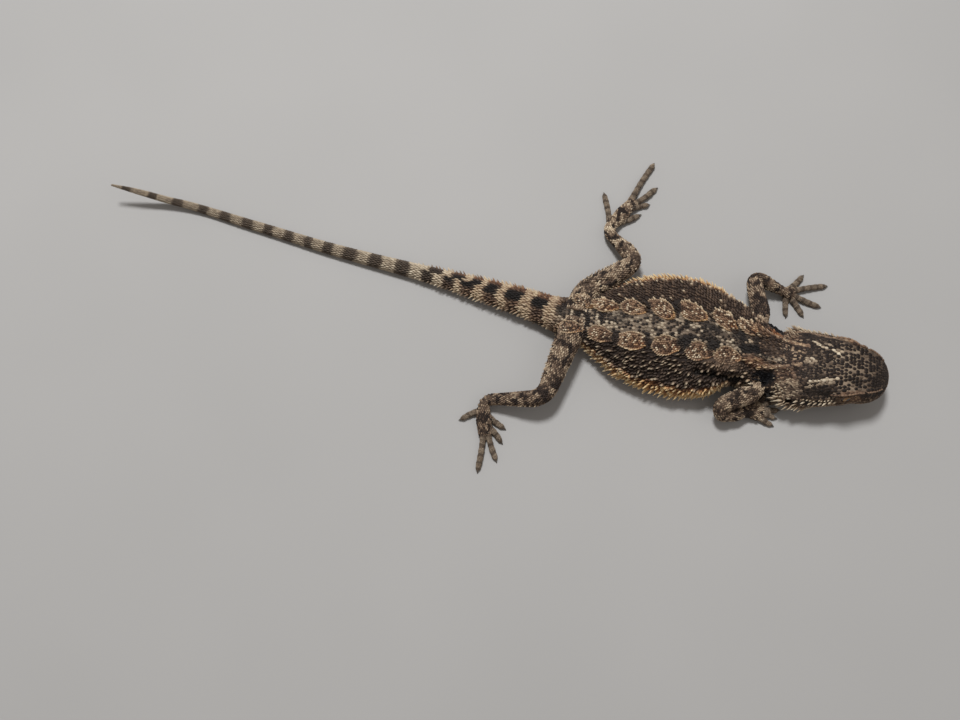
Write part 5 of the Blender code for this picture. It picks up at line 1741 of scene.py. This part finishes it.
def limbSpineRoots():
    made = []
    for limb, start, end, number, angle, size, width in limbSpineRows:
        share = (np.arange(number) + 0.5) / number
        along = mixed(start, end, share) * limbs[limb]["end"] + dice.uniform(-0.25, 0.25, number)
        turn = angle + dice.uniform(-8, 8, number)
        roots = rootsAt(limbs[limb]["surface"], along, turn, 0, width, limb + 1,
                        stripOf(limb, *limbStrip), -skinShape["coatDepth"])
        length = size * (0.7 + 0.3 * np.sin(math.pi * share)) * dice.uniform(0.8, 1.2, number)
        made.append(spineRoots(roots, length, width, 1.0, "limb"))
    return joinedRoots(made)


# Leaves out the spines whose tips would end inside the skin.
def outsideSkin(points, clearance=0.25):
    spot, facing = onSkin(points)
    return ((points - spot) * facing).sum(-1) > clearance


def plantSpines(name, roots):
    roots = settled(roots, 0.55, -0.25)
    length, width, lean = roots["extra"].T
    direction = unit(roots["normal"] + roots["lie"] * (lean * 0.75)[:, None])
    kept = outsideSkin(roots["place"] + direction * length[:, None])
    roots = pickedRoots(roots, kept)
    direction, length, width = direction[kept], length[kept], width[kept]
    drawn = tonesOf(roots)
    base, tip, warm, own = np.array([spineLooks[look] for look in roots["look"]]).T
    fringe = roots["look"] == "fringe"
    local = mixed(drawn["core"], drawn["rim"], 0.5)
    speck = 0.16 * (drawn["luck"] - 0.5)
    tones = dict(base=np.clip(mixed(base, local, own) + speck, 0, 1),
                 tip=np.clip(mixed(tip, drawn["tip"], own * 0.8) + speck, 0, 1),
                 warm=np.where(fringe, drawn["warm"], mixed(warm, drawn["warm"], own)),
                 ink=drawn["ink"] * 0.3, luck=drawn["luck"])
    dress(spinePiece(name, roots, direction, length, width, tones), spineHorn)
    print(name, len(length), "spines")


for name, slot in (("flankSpines", "back_skin"), ("tailSpines", "tail_skin"),
                   ("headSpines", "head_skin"), ("neckSpines", "head_skin")):
    plantSpines(name, bodySpineRoots(spineRows[name]))
plantSpines("limbSpines", limbSpineRoots())
plantSpines("collarSpines", lineSpineRoots())


# A sphere in polar steps round the gaze, with the cornea as a Gaussian swelling of its radius.
def eyePiece(name, left):
    centre, outward, forward, _ = eyeFrame(left)
    gaze = unit(outward + headParts["gazeForward"] * forward)
    sideways = unit(np.cross(gaze, forward))
    upwards = np.cross(sideways, gaze)
    steps, sides = 40, 48
    polar = np.radians(np.linspace(0, 180, steps + 1)[1:-1])[:, None]
    turn = np.radians(np.arange(sides) * 360 / sides)[None, :]
    ball, (rise, spread) = headParts["eyeRadius"], headParts["cornea"]
    radius = (ball - 0.04) + rise * np.exp(-((np.degrees(polar) / spread) ** 2))
    rings = centre + radius[..., None] * (
        np.cos(polar)[..., None] * gaze
        + (np.sin(polar) * np.cos(turn))[..., None] * sideways
        + (np.sin(polar) * np.sin(turn))[..., None] * upwards
    )
    front, rear = centre + gaze * (ball + 0.03), centre - gaze * ball
    points = np.concatenate([rings.reshape(-1, 3), [front], [rear]])
    ring = np.concatenate([np.repeat(np.degrees(polar.ravel()), sides), [0.0, 180.0]])
    eye = meshPiece(name, points, *shellFaces(steps - 1, sides), {"ring": ring})
    dress(eye, eyeGlaze)
    return eye


eyeGlaze = eyeMaterial()
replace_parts(eyePiece("eyeLeft", True), "eye_left")
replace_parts(eyePiece("eyeRight", False), "eye_right")


# Every claw is a bent cone: circles whose radius and height follow the claw's curve past the tip.
def makeClaws():
    shells = []
    sides = 12
    for limb in limbForms:
        for root, tip in limb["toes"]:
            root, tip = np.array([*root, 0.0]), np.array([*tip, 0.0])
            ahead = unit(tip - root)
            beside = np.array([-ahead[1], ahead[0], 0.0])
            rows = [(-back, radius, height) for back, radius, height in limbShape["claw"]]
            radiusAt, heightAt = curveThrough(rows, 1), curveThrough(rows, 2)

            def surface(t, degrees, grow):
                turn = np.radians(degrees)
                radius = radiusAt(t)
                spot = tip + ahead * t[..., None]
                spot = spot + beside * (radius * 0.8 * np.cos(turn))[..., None]
                spot[..., 2] = np.maximum(heightAt(t) + radius * np.sin(turn), 0.01)
                return spot

            shells.append(shellOf(surface, np.linspace(rows[0][0], rows[-1][0], 12), sides, 0.0))
    claws = meshPiece("claws", *joinedShells(shells))
    dress(claws, clawMaterial())


makeClaws()
print("eyes and claws made")


studio = {
    "camera": (0.2304, 16.0, -11.0),  # distance, tilt from straight down, turn
    "aim": (0.044207, 0.004391, 0.0),
    "lens": 36.0,
    "floorSize": 6.0,
    "world": (0.80, 0.745, 0.70),
    "worldStrength": 0.35,
    "key": ((-0.2, 0.45, 1.0), 0.75, 0.16, 4.6),  # direction, distance, size, power
    "fill": ((0.9, -0.2, 1.2), 1.2, 0.9, 0.8),
}


def makeFloor():
    half = studio["floorSize"] / 2 / mm
    corners = np.array([(-half, -half, 0), (half, -half, 0), (half, half, 0), (-half, half, 0)])
    floor = meshPiece("floor", corners, [0, 1, 2, 3], [4])
    floor.data.materials.append(floorMaterial())


# From the view's own axes (x to its right, y away from the viewer) to the model's.
def toModel(v):
    turn = math.radians(studio["camera"][2])
    ahead = Vector((math.cos(turn), math.sin(turn), 0))
    beside = Vector((-math.sin(turn), math.cos(turn), 0))
    v = Vector(v)
    return Vector((v.dot(ahead), v.dot(beside), v.z))


def makeCamera():
    distance, tilt, _ = studio["camera"]
    tilt = math.radians(tilt)
    aim = Vector(studio["aim"])
    spot = toModel(Vector((0, -distance * math.sin(tilt), distance * math.cos(tilt))) - aim)
    forward = (toModel(-aim) - spot).normalized()
    up = toModel((0, math.cos(tilt), math.sin(tilt)))
    up = (up - forward * up.dot(forward)).normalized()
    right = forward.cross(up)
    camera = bpy.data.objects.new("camera", bpy.data.cameras.new("camera"))
    bpy.context.scene.collection.objects.link(camera)
    camera.data.lens = studio["lens"]
    camera.data.sensor_width = 36.0
    camera.data.clip_start = 0.001
    turn = Matrix((right, up, -forward)).transposed().to_4x4()
    camera.matrix_world = Matrix.Translation(spot) @ turn
    bpy.context.scene.camera = camera


def makeLight(name, direction, distance, size, power):
    light = bpy.data.objects.new(name, bpy.data.lights.new(name, "AREA"))
    bpy.context.scene.collection.objects.link(light)
    light.data.shape = "DISK"
    light.data.size = size
    light.data.energy = power
    towards = toModel(direction).normalized()
    light.location = towards * distance
    light.rotation_mode = "QUATERNION"
    light.rotation_quaternion = towards.to_track_quat("Z", "Y")


def makeWorld():
    world = bpy.data.worlds.new("studio")
    world.use_nodes = True
    background = world.node_tree.nodes["Background"]
    background.inputs["Color"].default_value = (*studio["world"], 1.0)
    background.inputs["Strength"].default_value = studio["worldStrength"]
    bpy.context.scene.world = world


makeFloor()
makeCamera()
makeLight("key", *studio["key"])
makeLight("fill", *studio["fill"])
makeWorld()
bpy.context.scene.view_settings.view_transform = "Standard"
print("studio made")
